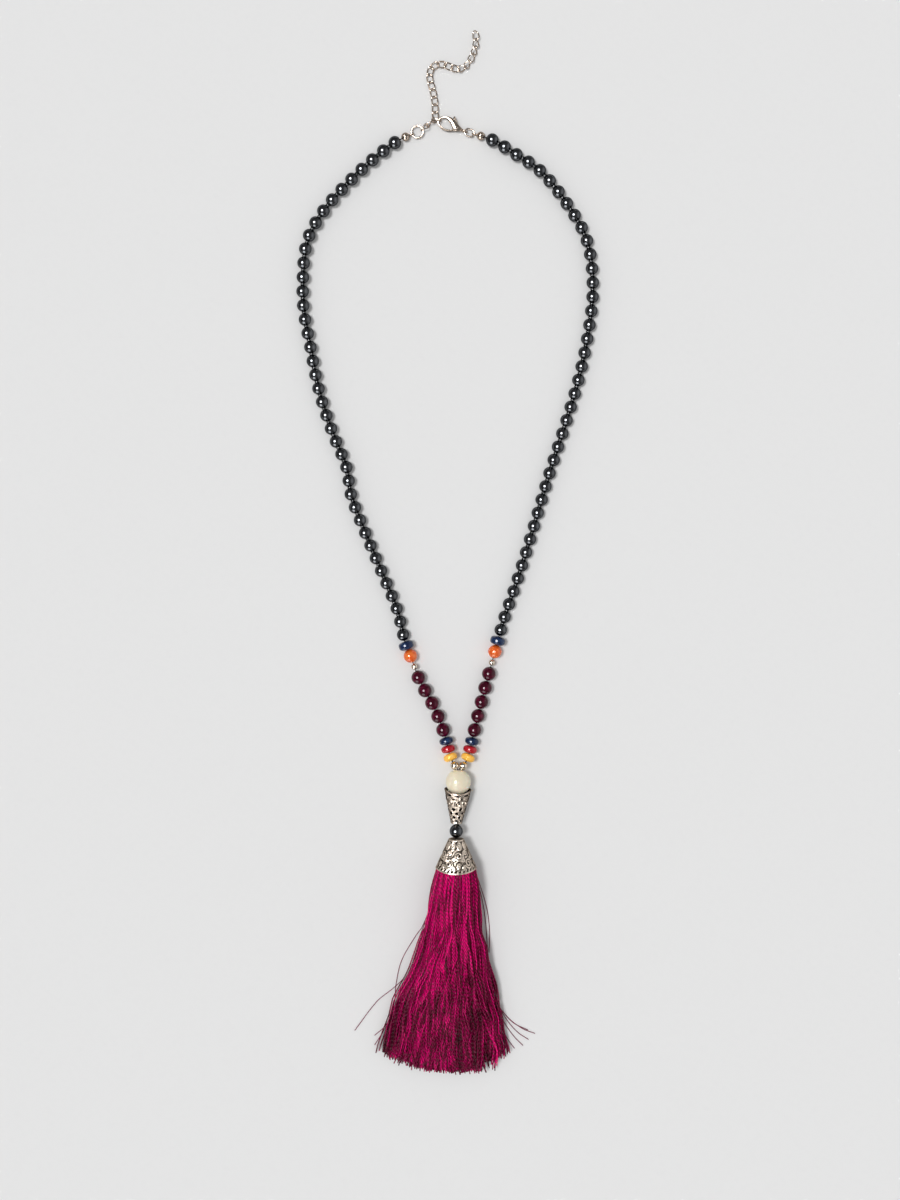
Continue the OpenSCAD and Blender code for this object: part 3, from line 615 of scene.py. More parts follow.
class Tree(Nodes):
    """A geometry node tree with named inputs, whose result becomes a plain mesh."""

    def __init__(self, name: str, **inputs: str) -> None:
        """Makes an empty tree.

        Args:
            name: The tree's name.
            **inputs: Kinds of socket by the inputs' names, after the geometry and before the material.
        """
        super().__init__(bpy.data.node_groups.new(name, "GeometryNodeTree"))
        face = self.tree.interface
        for label, kind in ({"Geometry": "Geometry"} | inputs | {"Material": "Material"}).items():
            face.new_socket(label, in_out="INPUT", socket_type="NodeSocket" + kind)
        face.new_socket("Geometry", in_out="OUTPUT", socket_type="NodeSocketGeometry")
        self.inputs = self.tree.nodes.new("NodeGroupInput").outputs

    def named(self, name: str, kind: str = "FLOAT") -> Socket:
        """Returns the socket of a named attribute."""
        return self.add("GeometryNodeInputNamedAttribute", {"Name": name}, data_type=kind).outputs["Attribute"]

    def place(self) -> Socket:
        """Returns the socket of the points' places."""
        return self.add("GeometryNodeInputPosition").outputs[0]

    def move(self, shape: Socket, **to: Socket) -> Socket:
        """Moves the points by an Offset or to a Position, and returns the geometry's socket."""
        return self.add("GeometryNodeSetPosition", {"Geometry": shape} | to).outputs[0]

    def store(self, shape: Socket, name: str, value: Socket, kind: str = "FLOAT", domain: str = "POINT") -> Socket:
        """Stores a named attribute and returns the geometry's socket."""
        inputs = {"Geometry": shape, "Name": name, "Value": value}
        return self.add("GeometryNodeStoreNamedAttribute", inputs, data_type=kind, domain=domain).outputs[0]

    def close(self, shape: Socket) -> None:
        """Ends the tree: real geometry, smooth, with its material.

        Args:
            shape: The geometry's socket.
        """
        real = self.add("GeometryNodeRealizeInstances", {"Geometry": shape}).outputs[0]
        smooth = self.add("GeometryNodeSetShadeSmooth", {"Geometry": real}).outputs[0]
        dressed = self.add("GeometryNodeSetMaterial", {"Geometry": smooth, "Material": self.inputs["Material"]})
        self.add("NodeGroupOutput", {0: dressed.outputs[0]})

    def run(self, obj: bpy.types.Object, finish: Finish, **values) -> bpy.types.Object:
        """Runs the tree on an object and keeps the result as its mesh.

        Args:
            obj: The object whose mesh is the tree's geometry.
            finish: The result's finish.
            **values: Values by the inputs' names.

        Returns:
            The same object.
        """
        modifier = obj.modifiers.new("Build", "NODES")
        modifier.node_group = self.tree
        values["Material"] = finish.material()
        for item in self.tree.interface.items_tree:
            if item.in_out == "INPUT" and item.name in values:
                modifier[item.identifier] = values[item.name]
        bake(obj)
        return obj


def spread_tree() -> Tree:
    """Puts a template on every point, turned as the point's attribute turn says."""
    made = Tree("Set out pieces", Piece="Object")
    piece = made.add("GeometryNodeObjectInfo", {"Object": made.inputs["Piece"]})
    laid = made.add("GeometryNodeInstanceOnPoints", {
        "Points": made.inputs["Geometry"], "Instance": piece.outputs["Geometry"],
        "Rotation": made.named("turn", "QUATERNION")})
    made.close(laid.outputs[0])
    return made


def wire_tree() -> Tree:
    """Gives every run of edges a round wire of its own attribute thick, and notes the place round and along it."""
    made = Tree("Draw wire", Sides="Int")
    curve = made.add("GeometryNodeMeshToCurve", {"Mesh": made.inputs["Geometry"]}).outputs[0]
    made.close(wire_from_curve(made, curve))
    return made


def wire_from_curve(made: Tree, curve: Socket) -> Socket:
    """Adds the nodes that turn a curve into wire.

    Args:
        made: The tree, with an input Sides.
        curve: The curve's socket, with an attribute thick, and lead where its twist starts further on.

    Returns:
        The wire mesh's socket.
    """
    length = made.add("GeometryNodeSplineParameter").outputs["Length"]
    curve = made.store(curve, "run", made.math("ADD", length, made.named("lead")))
    ring = {"Resolution": made.inputs["Sides"], "Radius": 1.0}
    circle = made.add("GeometryNodeCurvePrimitiveCircle", ring).outputs[0]
    circle = made.store(circle, "round", made.place(), "FLOAT_VECTOR")
    inputs = {"Curve": curve, "Profile Curve": circle, "Scale": made.named("thick"), "Fill Caps": True}
    return made.add("GeometryNodeCurveToMesh", inputs).outputs[0]


def relief_tree() -> Tree:
    """Raises a surface along ornament lines, as a cast relief, and marks in one attribute the patina of its hollows and
    the painted shade of its sides.
    """
    made = Tree("Cast relief", Lines="Object", Height="Float", Width="Float")
    lines = made.add("GeometryNodeObjectInfo", {"Object": made.inputs["Lines"]}).outputs["Geometry"]
    near = made.add("GeometryNodeProximity", {"Geometry": lines}, target_element="EDGES").outputs["Distance"]
    share = made.math("DIVIDE", near, made.inputs["Width"])
    # A rounded ridge: 1 - share squared, down to the ground
    ridge = made.math("SUBTRACT", 1.0, made.math("MULTIPLY", share, share), clamp=True)
    height = made.math("MULTIPLY", made.math("POWER", ridge, 0.6), made.inputs["Height"])
    height = made.math("MULTIPLY", height, made.named("outer"))
    moved = made.move(made.inputs["Geometry"], Offset=made.scaled(made.named("out", "FLOAT_VECTOR"), height))
    # A dark line follows the ridge's foot
    line = made.math("MULTIPLY", made.ramp(share, (0.7, 1.0)), made.ramp(share, (1.45, 2.2), (1.0, 0.0)))
    # Painted shade on the sides: the attribute side darkens them between the ridges more than on the ridges
    low = made.math("MULTIPLY_ADD", ridge, -0.75, 1.0)
    side = made.math("MULTIPLY", made.named("side"), low)
    made.close(made.store(moved, "patina", made.math("ADD", line, side, clamp=True)))
    return made


def lock_tree() -> Tree:
    """Fills each lock of a tassel with threads round its guide: spread over it, wavy, and uneven at their ends."""
    made = Tree("Hang threads", Threads="Int", Sides="Int", Wander="Float", Uneven="Float", Seed="Int")
    guide = made.add("GeometryNodeMeshToCurve", {"Mesh": made.inputs["Geometry"]}).outputs[0]
    copies = {"Geometry": guide, "Amount": made.inputs["Threads"]}
    shape = made.add("GeometryNodeDuplicateElements", copies, domain="SPLINE").outputs[0]
    # Numbers of each thread's own, from 0 to these
    own = {"turn_in": TURN, "reach": 1.0, "tone": 1.0, "cut": 1.0, "phase": 100.0, "lead": 6 * MM}
    for step, (name, high) in enumerate(own.items(), 1):
        seed = made.math("ADD", made.inputs["Seed"], float(step))
        chance = made.add("FunctionNodeRandomValue", {2: 0.0, 3: high, "Seed": seed}, data_type="FLOAT")
        shape = made.store(shape, name, chance.outputs[1], domain="CURVE")
    root = made.math("SQRT", made.named("reach"))
    parts = []
    for axis, operation in (("across", "COSINE"), ("lift", "SINE")):
        out = made.math("MULTIPLY", made.math(operation, made.named("turn_in")), root)
        parts.append(made.scaled(made.named(axis, "FLOAT_VECTOR"), out))
    # Painted shade: threads that lie deep in a lock are darker
    depth = made.ramp(out, (-0.9, 0.6), (0.3, 1.0), smooth=False)
    spline = made.add("GeometryNodeSplineParameter").outputs
    wave = made.add("ShaderNodeCombineXYZ", {0: made.math("MULTIPLY", spline["Length"], 1 / (WAVE_MM * MM))}).outputs[0]
    look = {"Vector": wave, "W": made.named("phase"), "Scale": 1.0, "Detail": 1.0}
    noise = made.add("ShaderNodeTexNoise", look, noise_dimensions="4D").outputs["Color"]
    size = made.math("MULTIPLY", made.math("POWER", spline["Factor"], 0.8), made.inputs["Wander"])
    wander = made.scaled(made.vector("SUBTRACT", noise, (0.5, 0.5, 0.5)), size)
    shape = made.move(shape, Offset=made.vector("ADD", made.vector("ADD", *parts), wander))
    # Nothing hangs below the floor: each thread keeps its own radius above it
    x, y, z = made.add("ShaderNodeSeparateXYZ", {0: made.place()}).outputs
    held = made.add("ShaderNodeCombineXYZ", {0: x, 1: y, 2: made.math("MAXIMUM", z, made.named("thick"))})
    shape = made.move(shape, Position=held.outputs[0])
    end = made.math("SUBTRACT", 1.0, made.math("MULTIPLY", made.named("cut"), made.inputs["Uneven"]))
    shape = made.add("GeometryNodeTrimCurve", {"Curve": shape, "End": end}, mode="FACTOR").outputs[0]
    # Painted shade: a thread is darker deep in its lock. No two threads took the dye alike, and the guides carry each
    # lock's own dye and painted shade.
    tone = made.math("MULTIPLY_ADD", made.math("POWER", made.named("tone"), 1.3), 1.3, 0.08)
    tone = made.math("MULTIPLY", made.math("MULTIPLY", tone, depth), made.named("dye"))
    # Neighbours gather into strands, some darker than others
    fine = made.vector("MULTIPLY", made.place(), tuple(per_mm / MM for per_mm in STRANDS_PER_MM))
    strand = made.add("ShaderNodeTexNoise", {"Vector": fine, "Scale": 1.0, "Detail": 1.0}).outputs[0]
    tone = made.math("MULTIPLY", tone, made.ramp(strand, (0.36, 0.64), (0.3, 1.8), smooth=False))
    made.close(wire_from_curve(made, made.store(shape, "shade", tone)))
    return made


class Workshop:
    """The node trees, each made once, and the two ways of using them most."""

    def __init__(self) -> None:
        """Builds the trees."""
        self.spread, self.wire, self.relief, self.locks = spread_tree(), wire_tree(), relief_tree(), lock_tree()

    def set_out(
        self, name: str, template: tuple[np.ndarray, list], places: list[tuple[Vector, Quaternion]], finish: Finish
    ) -> bpy.types.Object:
        """Puts one template on many places.

        Args:
            name: The piece's name.
            template: Points and faces of the template, at the origin.
            places: Middle and turn of each copy.
            finish: The piece's finish.

        Returns:
            The piece.
        """
        model = finish_mesh(mesh_object(name + "_template", *template))
        made = mesh_object(name, np.array([p for p, _ in places]), [])
        note(made, "turn", [tuple(q) for _, q in places], "QUATERNION")
        self.spread.run(made, finish, Piece=model)
        bpy.data.objects.remove(model)
        return made

    def draw_wire(
        self, name: str, paths: list[list[Vector]], thick: float | list[float], sides: int, finish: Finish,
        closed: bool = False
    ) -> bpy.types.Object:
        """Draws wires along paths.

        Args:
            name: The piece's name.
            paths: The points of each wire's middle, in metres.
            thick: The wires' radius in metres, or one for each point.
            sides: Sides of a wire.
            finish: The piece's finish.
            closed: Whether each wire joins its own end.

        Returns:
            The piece.
        """
        made = chained(name, paths, closed)
        note(made, "thick", thick if isinstance(thick, list) else [thick] * len(made.data.vertices))
        return self.wire.run(made, finish, Sides=sides)


def join(name: str, pieces: list[bpy.types.Object]) -> bpy.types.Object:
    """Joins pieces into the first and names it.

    Args:
        name: The joined piece's name.
        pieces: The pieces.

    Returns:
        The joined piece.
    """
    with bpy.context.temp_override(active_object=pieces[0], selected_editable_objects=pieces):
        bpy.ops.object.join()
    pieces[0].name = name
    return pieces[0]


def centre(node: str) -> Vector:
    """Returns the middle of a CAD node's box."""
    low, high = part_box(node)
    return (low + high) / 2


def settle(obj: bpy.types.Object, slot: str, *nodes: str, body: Body = Body.NECKLACE) -> None:
    """Hands a finished piece to the frame.

    Args:
        obj: The piece.
        slot: The record's material slot; not used.
        *nodes: The CAD nodes that it stands for.
        body: The body that it moves with.
    """
    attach(obj, body.value)
    if nodes:
        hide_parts(*nodes)
    log.info("%s: %d faces, for %s", obj.name, len(obj.data.polygons), ", ".join(nodes) or "no node of its own")


@dataclass
class Bead:
    """One bead of a strand: its node, sizes, outline and finish."""

    node: str
    slot: str
    diameter: float
    length: float
    finish: Finish
    power: float = 2.0


@dataclass
class Strand:
    """One side of the necklace, from its knot cover down to the silver bead over the drop."""

    side: Side
    shop: Workshop
    bore: float = 1.4
    dark: float = 5.9
    seed_d: float = 2.4
    seed_l: float = 0.98
    thread: float = 0.5
    # How far the thread runs beside the middle of the drop
    apart: float = 0.35
    cover_d: float = 3.8
    cover_wall: float = 0.4
    loop_d: float = 2.8
    loop_wire: float = 0.55
    segments: int = 36
    middles: list[Vector] = field(default_factory=list)

    def coloured(self) -> list[Bead]:
        """Lists the coloured beads in their order below the dark ones."""
        plums = [Bead(f"plum_bead_{k}", "plum", 6.7, 6.7, PLUM_STONE) for k in range(1, 6)]
        return [
            Bead("navy_rondelle", "navy", 7.3, 4.0, NAVY_STONE, 3.0),
            Bead("orange_bead", "orange", 6.5, 6.5, ORANGE_RESIN),
            Bead("silver_spacer", "bright_silver", 3.0, 3.0, BRIGHT_SILVER),
            *plums,
            Bead("navy_disc", "navy", 6.8, 3.6, NAVY_STONE, 2.5),
            Bead("red_disc", "red", 6.8, 3.6, RED_STONE, 2.5),
            Bead("yellow_disc", "yellow", 6.8, 3.6, YELLOW_STONE, 2.5),
            Bead("silver_round", "bright_silver", 4.0, 4.0, BRIGHT_SILVER),
        ]

    def node(self, name: str) -> str:
        """Returns a node's full name on this side."""
        return f"{name}_{self.side.value}"

    def measure(self) -> int:
        """Finds every bead's middle from the frame, from the clasp down.

        Returns:
            How many dark beads there are.
        """
        left = [middle(p) for p in loose_parts(self.node("dark_beads"))]
        at = centre(self.node("knot_cover"))
        while left:
            at = min(left, key=lambda p: (p - at).length)
            left.remove(at)
            self.middles.append(at)
        count = len(self.middles)
        self.middles += [centre(self.node(bead.node)) for bead in self.coloured()]
        return count

    def heading(self, i: int) -> Vector:
        """Returns the strand's direction at a bead."""
        return self.middles[min(i + 1, len(self.middles) - 1)] - self.middles[max(i - 1, 0)]

    def build(self) -> None:
        """Builds and dresses the strand's pieces."""
        count = self.measure()
        dark = bead_profile(self.dark, self.dark, self.bore, steps=20)
        places = [(self.middles[i], along(self.heading(i))) for i in range(count)]
        beads = self.shop.set_out(self.node("dark_glass_beads"), turned(dark, self.segments), places, HEMATITE)
        settle(beads, "dark_mirror", self.node("dark_beads"))
        seed = bead_profile(self.seed_d, self.seed_l, 2 * self.thread, 2.2, 9)
        gaps = [((a + b) / 2, along(b - a)) for a, b in zip(self.middles[:count - 1], self.middles[1:count])]
        settle(self.shop.set_out(self.node("seed_beads"), turned(seed, 16), gaps, BLACK_GLASS), "dark_mirror")
        for at, bead in enumerate(self.coloured(), count):
            shape = turned(bead_profile(bead.diameter, bead.length, self.bore, bead.power, 22), 48)
            place = (self.middles[at], along(self.heading(at)))
            piece = self.shop.set_out(self.node(bead.node + "_bead"), shape, [place], bead.finish)
            settle(piece, bead.slot, self.node(bead.node))
        self.build_cover()
        self.build_thread()

    def cover_frame(self) -> tuple[Vector, Vector]:
        """Finds the knot cover's middle and direction from its node."""
        points = loose_parts(self.node("knot_cover"))[0]
        r = self.cover_d / 2 * MM
        low, high = points.min(axis=0), points.max(axis=0)
        x = low[0] + r if self.side is Side.LEFT else high[0] - r
        at = Vector((x, low[1] + r, r))
        off = points - np.array(at)
        far = off[np.hypot(off[:, 0], off[:, 1]) > 1.15 * r].mean(axis=0)
        return at, Vector((far[0], far[1], 0)).normalized()

    def build_cover(self) -> None:
        """Builds the folding cover: two cups that face each other over the knot, and the loop at their hinge."""
        at, way = self.cover_frame()
        r, t = self.cover_d / 2, self.cover_wall
        outer = [(r * math.cos(a), r * math.sin(a)) for a in np.linspace(0.08, math.pi / 2, 12)]
        inner = [((r - t) * math.cos(a), (r - t) * math.sin(a)) for a in np.linspace(math.pi / 2, 0.1, 10)]
        rim = [(r - 0.5 * t, 0.1)]
        cup = [(max(x, 0.0), y) for x, y in outer + inner + rim]
        side = UP.cross(way)
        cups = self.shop.set_out(self.node("cups"), turned(cup, 32), [(at, along(side)), (at, along(-side))], NICKEL)
        finish_mesh(cups)
        ring_r = (self.loop_d - self.loop_wire) / 2
        loop_at = at + way * (r + ring_r) * MM
        loop_at.z = (self.loop_d / 2 + 0.1) * MM
        loop = [loop_at + (way * math.cos(a) + UP * math.sin(a)) * ring_r * MM for a in np.linspace(0, TURN, 33)[:-1]]
        ring = self.shop.draw_wire(self.node("loop"), [loop], self.loop_wire / 2 * MM, 12, NICKEL, closed=True)
        hinge_at = at + way * (r - 0.25) * MM
        bar = [hinge_at + UP * z * MM for z in (-0.75, -0.7, 0.7, 0.75)]
        hinge = self.shop.draw_wire(self.node("hinge"), [bar], [r * MM for r in (0.15, 0.3, 0.3, 0.15)], 12, NICKEL)
        settle(join(self.node("folding_cover"), [cups, ring, hinge]), "findings", self.node("knot_cover"))

    def build_thread(self) -> None:
        """Builds the thread from the cover's knot through every bead and down the drop."""
        at, _ = self.cover_frame()
        off = Vector((-self.apart if self.side is Side.LEFT else self.apart, 0, 0)) * MM
        # Pieces of the drop, and how far up each the thread is led
        stops = (
            ("pale_bead", 1.0), ("pale_bead", 0.0), ("openwork_cone", 0.0), ("drop_bead", 0.5), ("tassel_cap", 0.7),
        )
        drop = []
        for node, share in stops:
            low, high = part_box(node)
            mid = centre(node)
            drop.append(Vector((mid.x, low.y + (high.y - low.y) * share, mid.z)) + off)
        path = smooth_path([at] + self.middles + drop, 4)
        thread = self.shop.draw_wire(self.node("bead_thread"), [path], self.thread / 2 * MM, 8, NYLON)
        settle(thread, "bead_thread", self.node("thread"))


@dataclass
class Clasp:
    """The fastening: rings, extender chain, and the claw with its lever."""

    shop: Workshop
    ring_wire: float = 0.8
    ring_d: float = 6.2
    # Length, width and wire
    oval: tuple[float, float, float] = (5.0, 3.9, 0.65)
    link: tuple[float, float, float] = (4.75, 3.4, 0.55)
    link_twist: float = 45.0
    claw_l: float = 12.4
    claw_turn: float = -16.7
    pivot: tuple[float, float] = (9.796, 0.2)
    eye_r: float = 1.325
    eye_wire: float = 0.75
    slot_height: float = 1.3

    def stadium(self, half_l: float, half_w: float, steps: int, twist: float = 0.0) -> list[Vector]:
        """Gives the middle line of a long link.

        Args:
            half_l: Half its length, between wire middles.
            half_w: Half its width.
            steps: Points round it.
            twist: How far each end is turned about the length, in degrees.

        Returns:
            Its points in millimetres, in its own frame.
        """
        made = []
        for k in range(steps):
            a = TURN * (k + 0.5) / steps
            x = half_w * math.cos(a) + math.copysign(half_l - half_w, math.cos(a))
            y = half_w * math.sin(a)
            lean = math.radians(twist * x / half_l)
            made.append(Vector((x, y * math.cos(lean), y * math.sin(lean))))
        return made

    def build(self) -> None:
        """Builds and dresses the fastening's pieces."""
        self.build_rings()
        self.build_chain()
        self.build_claw()
        lever = frame["nodes"]["clasp_lever"]
        lever.data.materials.clear()
        lever.data.materials.append(NICKEL.material())

    def build_rings(self) -> None:
        """Builds the round and the oval ring, each of bent wire whose ends meet."""
        round_ring = (self.ring_d, self.ring_d, self.ring_wire)
        for node, (length, width, wire), steps in (("jump_ring", round_ring, 48), ("oval_ring", self.oval, 40)):
            points = loose_parts(node)[0]
            at, turn = middle(points), main_axes(points)
            run = [at + turn @ p * MM for p in self.stadium((length - wire) / 2, (width - wire) / 2, steps)]
            ring = self.shop.draw_wire(node + "_wire", [run], wire / 2 * MM, 14, NICKEL, closed=True)
            settle(ring, "findings", node)

    def build_chain(self) -> None:
        """Builds the curb chain, each link where the frame has it."""
        length, width, wire = self.link
        path = self.stadium((length - wire) / 2, (width - wire) / 2, 32, self.link_twist)
        runs = []
        for points in loose_parts("extender_chain"):
            at, turn = Vector(np.unique(np.round(points, 7), axis=0).mean(axis=0)), main_axes(points)
            runs.append([at + turn @ p * MM for p in path])
        chain = self.shop.draw_wire("curb_chain", runs, wire / 2 * MM, 10, NICKEL, closed=True)
        settle(chain, "findings", "extender_chain")

    def to_world(self) -> Matrix:
        """Gives the claw's own frame, from its pivot in the record and its turn."""
        pivot = Vector(frame["record"]["behaviour"]["joints"][0]["pos_m"])
        turn = Matrix.Rotation(math.radians(self.claw_turn), 4, "Z")
        nose = pivot - turn @ Vector((self.pivot[0], self.pivot[1], 0)) * MM
        return Matrix.Translation(nose) @ turn

    def build_claw(self) -> None:
        """Lofts the cast claw from nose to eye, cuts the lever's slot and adds the eye and the pin's heads."""
        # Outer and inner edge of each section, and half its thickness, in millimetres
        sections = [
            ((2.25, -1.72), (2.72, -1.2), 0.28), ((1.72, -1.5), (2.15, -0.72), 0.46),
            ((0.72, -0.72), (1.42, -0.08), 0.5), ((0.12, 0.2), (1.08, 0.5), 0.5),
            ((0.02, 1.2), (1.02, 1.1), 0.52), ((0.42, 2.3), (1.3, 1.8), 0.55),
            ((1.3, 3.2), (2.0, 2.45), 0.6), ((2.48, 3.76), (2.98, 2.89), 0.68), ((3.9, 4.12), (4.1, 2.95), 0.85),
            ((5.3, 4.19), (5.08, 2.18), 1.1), ((6.7, 3.98), (6.15, 1.36), 1.26), ((7.9, 3.55), (7.05, 0.35), 1.3),
            ((8.8, 2.98), (7.85, -0.95), 1.3), ((9.7, 2.3), (8.7, -1.6), 1.3), ((10.6, 1.7), (9.8, -1.28), 1.22),
            ((11.5, 1.15), (11.0, -0.82), 1.0), ((12.2, 0.7), (12.0, -0.56), 0.75), ((12.4, 0.45), (12.38, -0.42), 0.6),
        ]
        around, square, points = 14, 0.8, []
        for outer, inner, half in sections:
            a, b = np.array(outer), np.array(inner)
            for k in range(around):
                t = TURN * (k + 0.5) / around
                c, s = math.cos(t), math.sin(t)
                p = (a + b) / 2 + (a - b) / 2 * math.copysign(abs(c) ** square, c)
                points.append((p[0] * MM, p[1] * MM, half * math.copysign(abs(s) ** square, s) * MM))
        rings = grid(len(sections), around)
        faces = bands(rings) + [tuple(rings[0]), tuple(rings[-1])]
        body = finish_mesh(mesh_object("claw_cast", np.array(points), faces))
        soft = body.modifiers.new("Round", "SUBSURF")
        soft.levels = soft.render_levels = 2
        bake(body)
        self.cut_slot(body)
        eye_x = self.claw_l - self.eye_wire / 2 + self.eye_r
        eye = [Vector((eye_x + self.eye_r * math.cos(a), 0, self.eye_r * math.sin(a))) * MM
               for a in np.linspace(0, TURN, 37)[:-1]]
        ring = self.shop.draw_wire("claw_eye", [eye], self.eye_wire / 2 * MM, 14, NICKEL, closed=True)
        px, py = self.pivot
        pin = [Vector((px, py, z)) * MM for z in (-1.42, -1.36, -1.2, 1.2, 1.36, 1.42)]
        head = self.shop.draw_wire("claw_pin", [pin], [r * MM for r in (0.3, 0.5, 0.55, 0.55, 0.5, 0.3)], 20, NICKEL)
        claw = join("claw_clasp", [body, ring, head])
        claw.data.transform(self.to_world())
        claw.data.materials.clear()
        claw.data.materials.append(NICKEL.material())
        for face in claw.data.polygons:
            face.material_index = 0
        settle(claw, "findings", "clasp_body")

    def cut_slot(self, body: bpy.types.Object) -> None:
        """Cuts the slot in which the lever swings out of the claw.

        Args:
            body: The claw's casting, in its own frame.
        """
        # Arcs round the pivot: radius in millimetres, and first, end and step of the angle in degrees
        arcs = ((1.35, 252, 416, 12), (7.0, 56, 137, 10), (3.3, 137, 157, 6), (7.0, 156, 253, 8))
        px, py = self.pivot
        outline = [(px + r * math.cos(a), py + r * math.sin(a)) for r, *arc in arcs for a in np.radians(range(*arc))]
        half = self.slot_height / 2
        points = [(x * MM, y * MM, z * MM) for z in (-half, half) for x, y in outline]
        rings = grid(2, len(outline))
        faces = [tuple(rings[0])[::-1], tuple(rings[1])] + bands(rings)
        cutter = finish_mesh(mesh_object("slot_cutter", np.array(points), faces))
        cut = body.modifiers.new("Slot", "BOOLEAN")
        cut.operation, cut.solver, cut.object = "DIFFERENCE", "EXACT", cutter
        bake(body)
        bpy.data.objects.remove(cutter)
        body.data.shade_smooth()
        body.data.set_sharp_from_angle(angle=math.radians(40))


@dataclass(frozen=True)
class Row:
    """A row of openings round the cone, each in a cell of its own and with a raised collar."""

    # Share of the cone's length where the cells start
    start: float
    # Half sizes of an opening, as shares of its cell, and its lean in degrees
    half_w: float = 0.0
    half_h: float = 0.0
    lean: float = 0.0
    # Turn of the row, in cells
    shift: float = 0.0
    # Height of the collars, in millimetres
    collar: float = 0.0


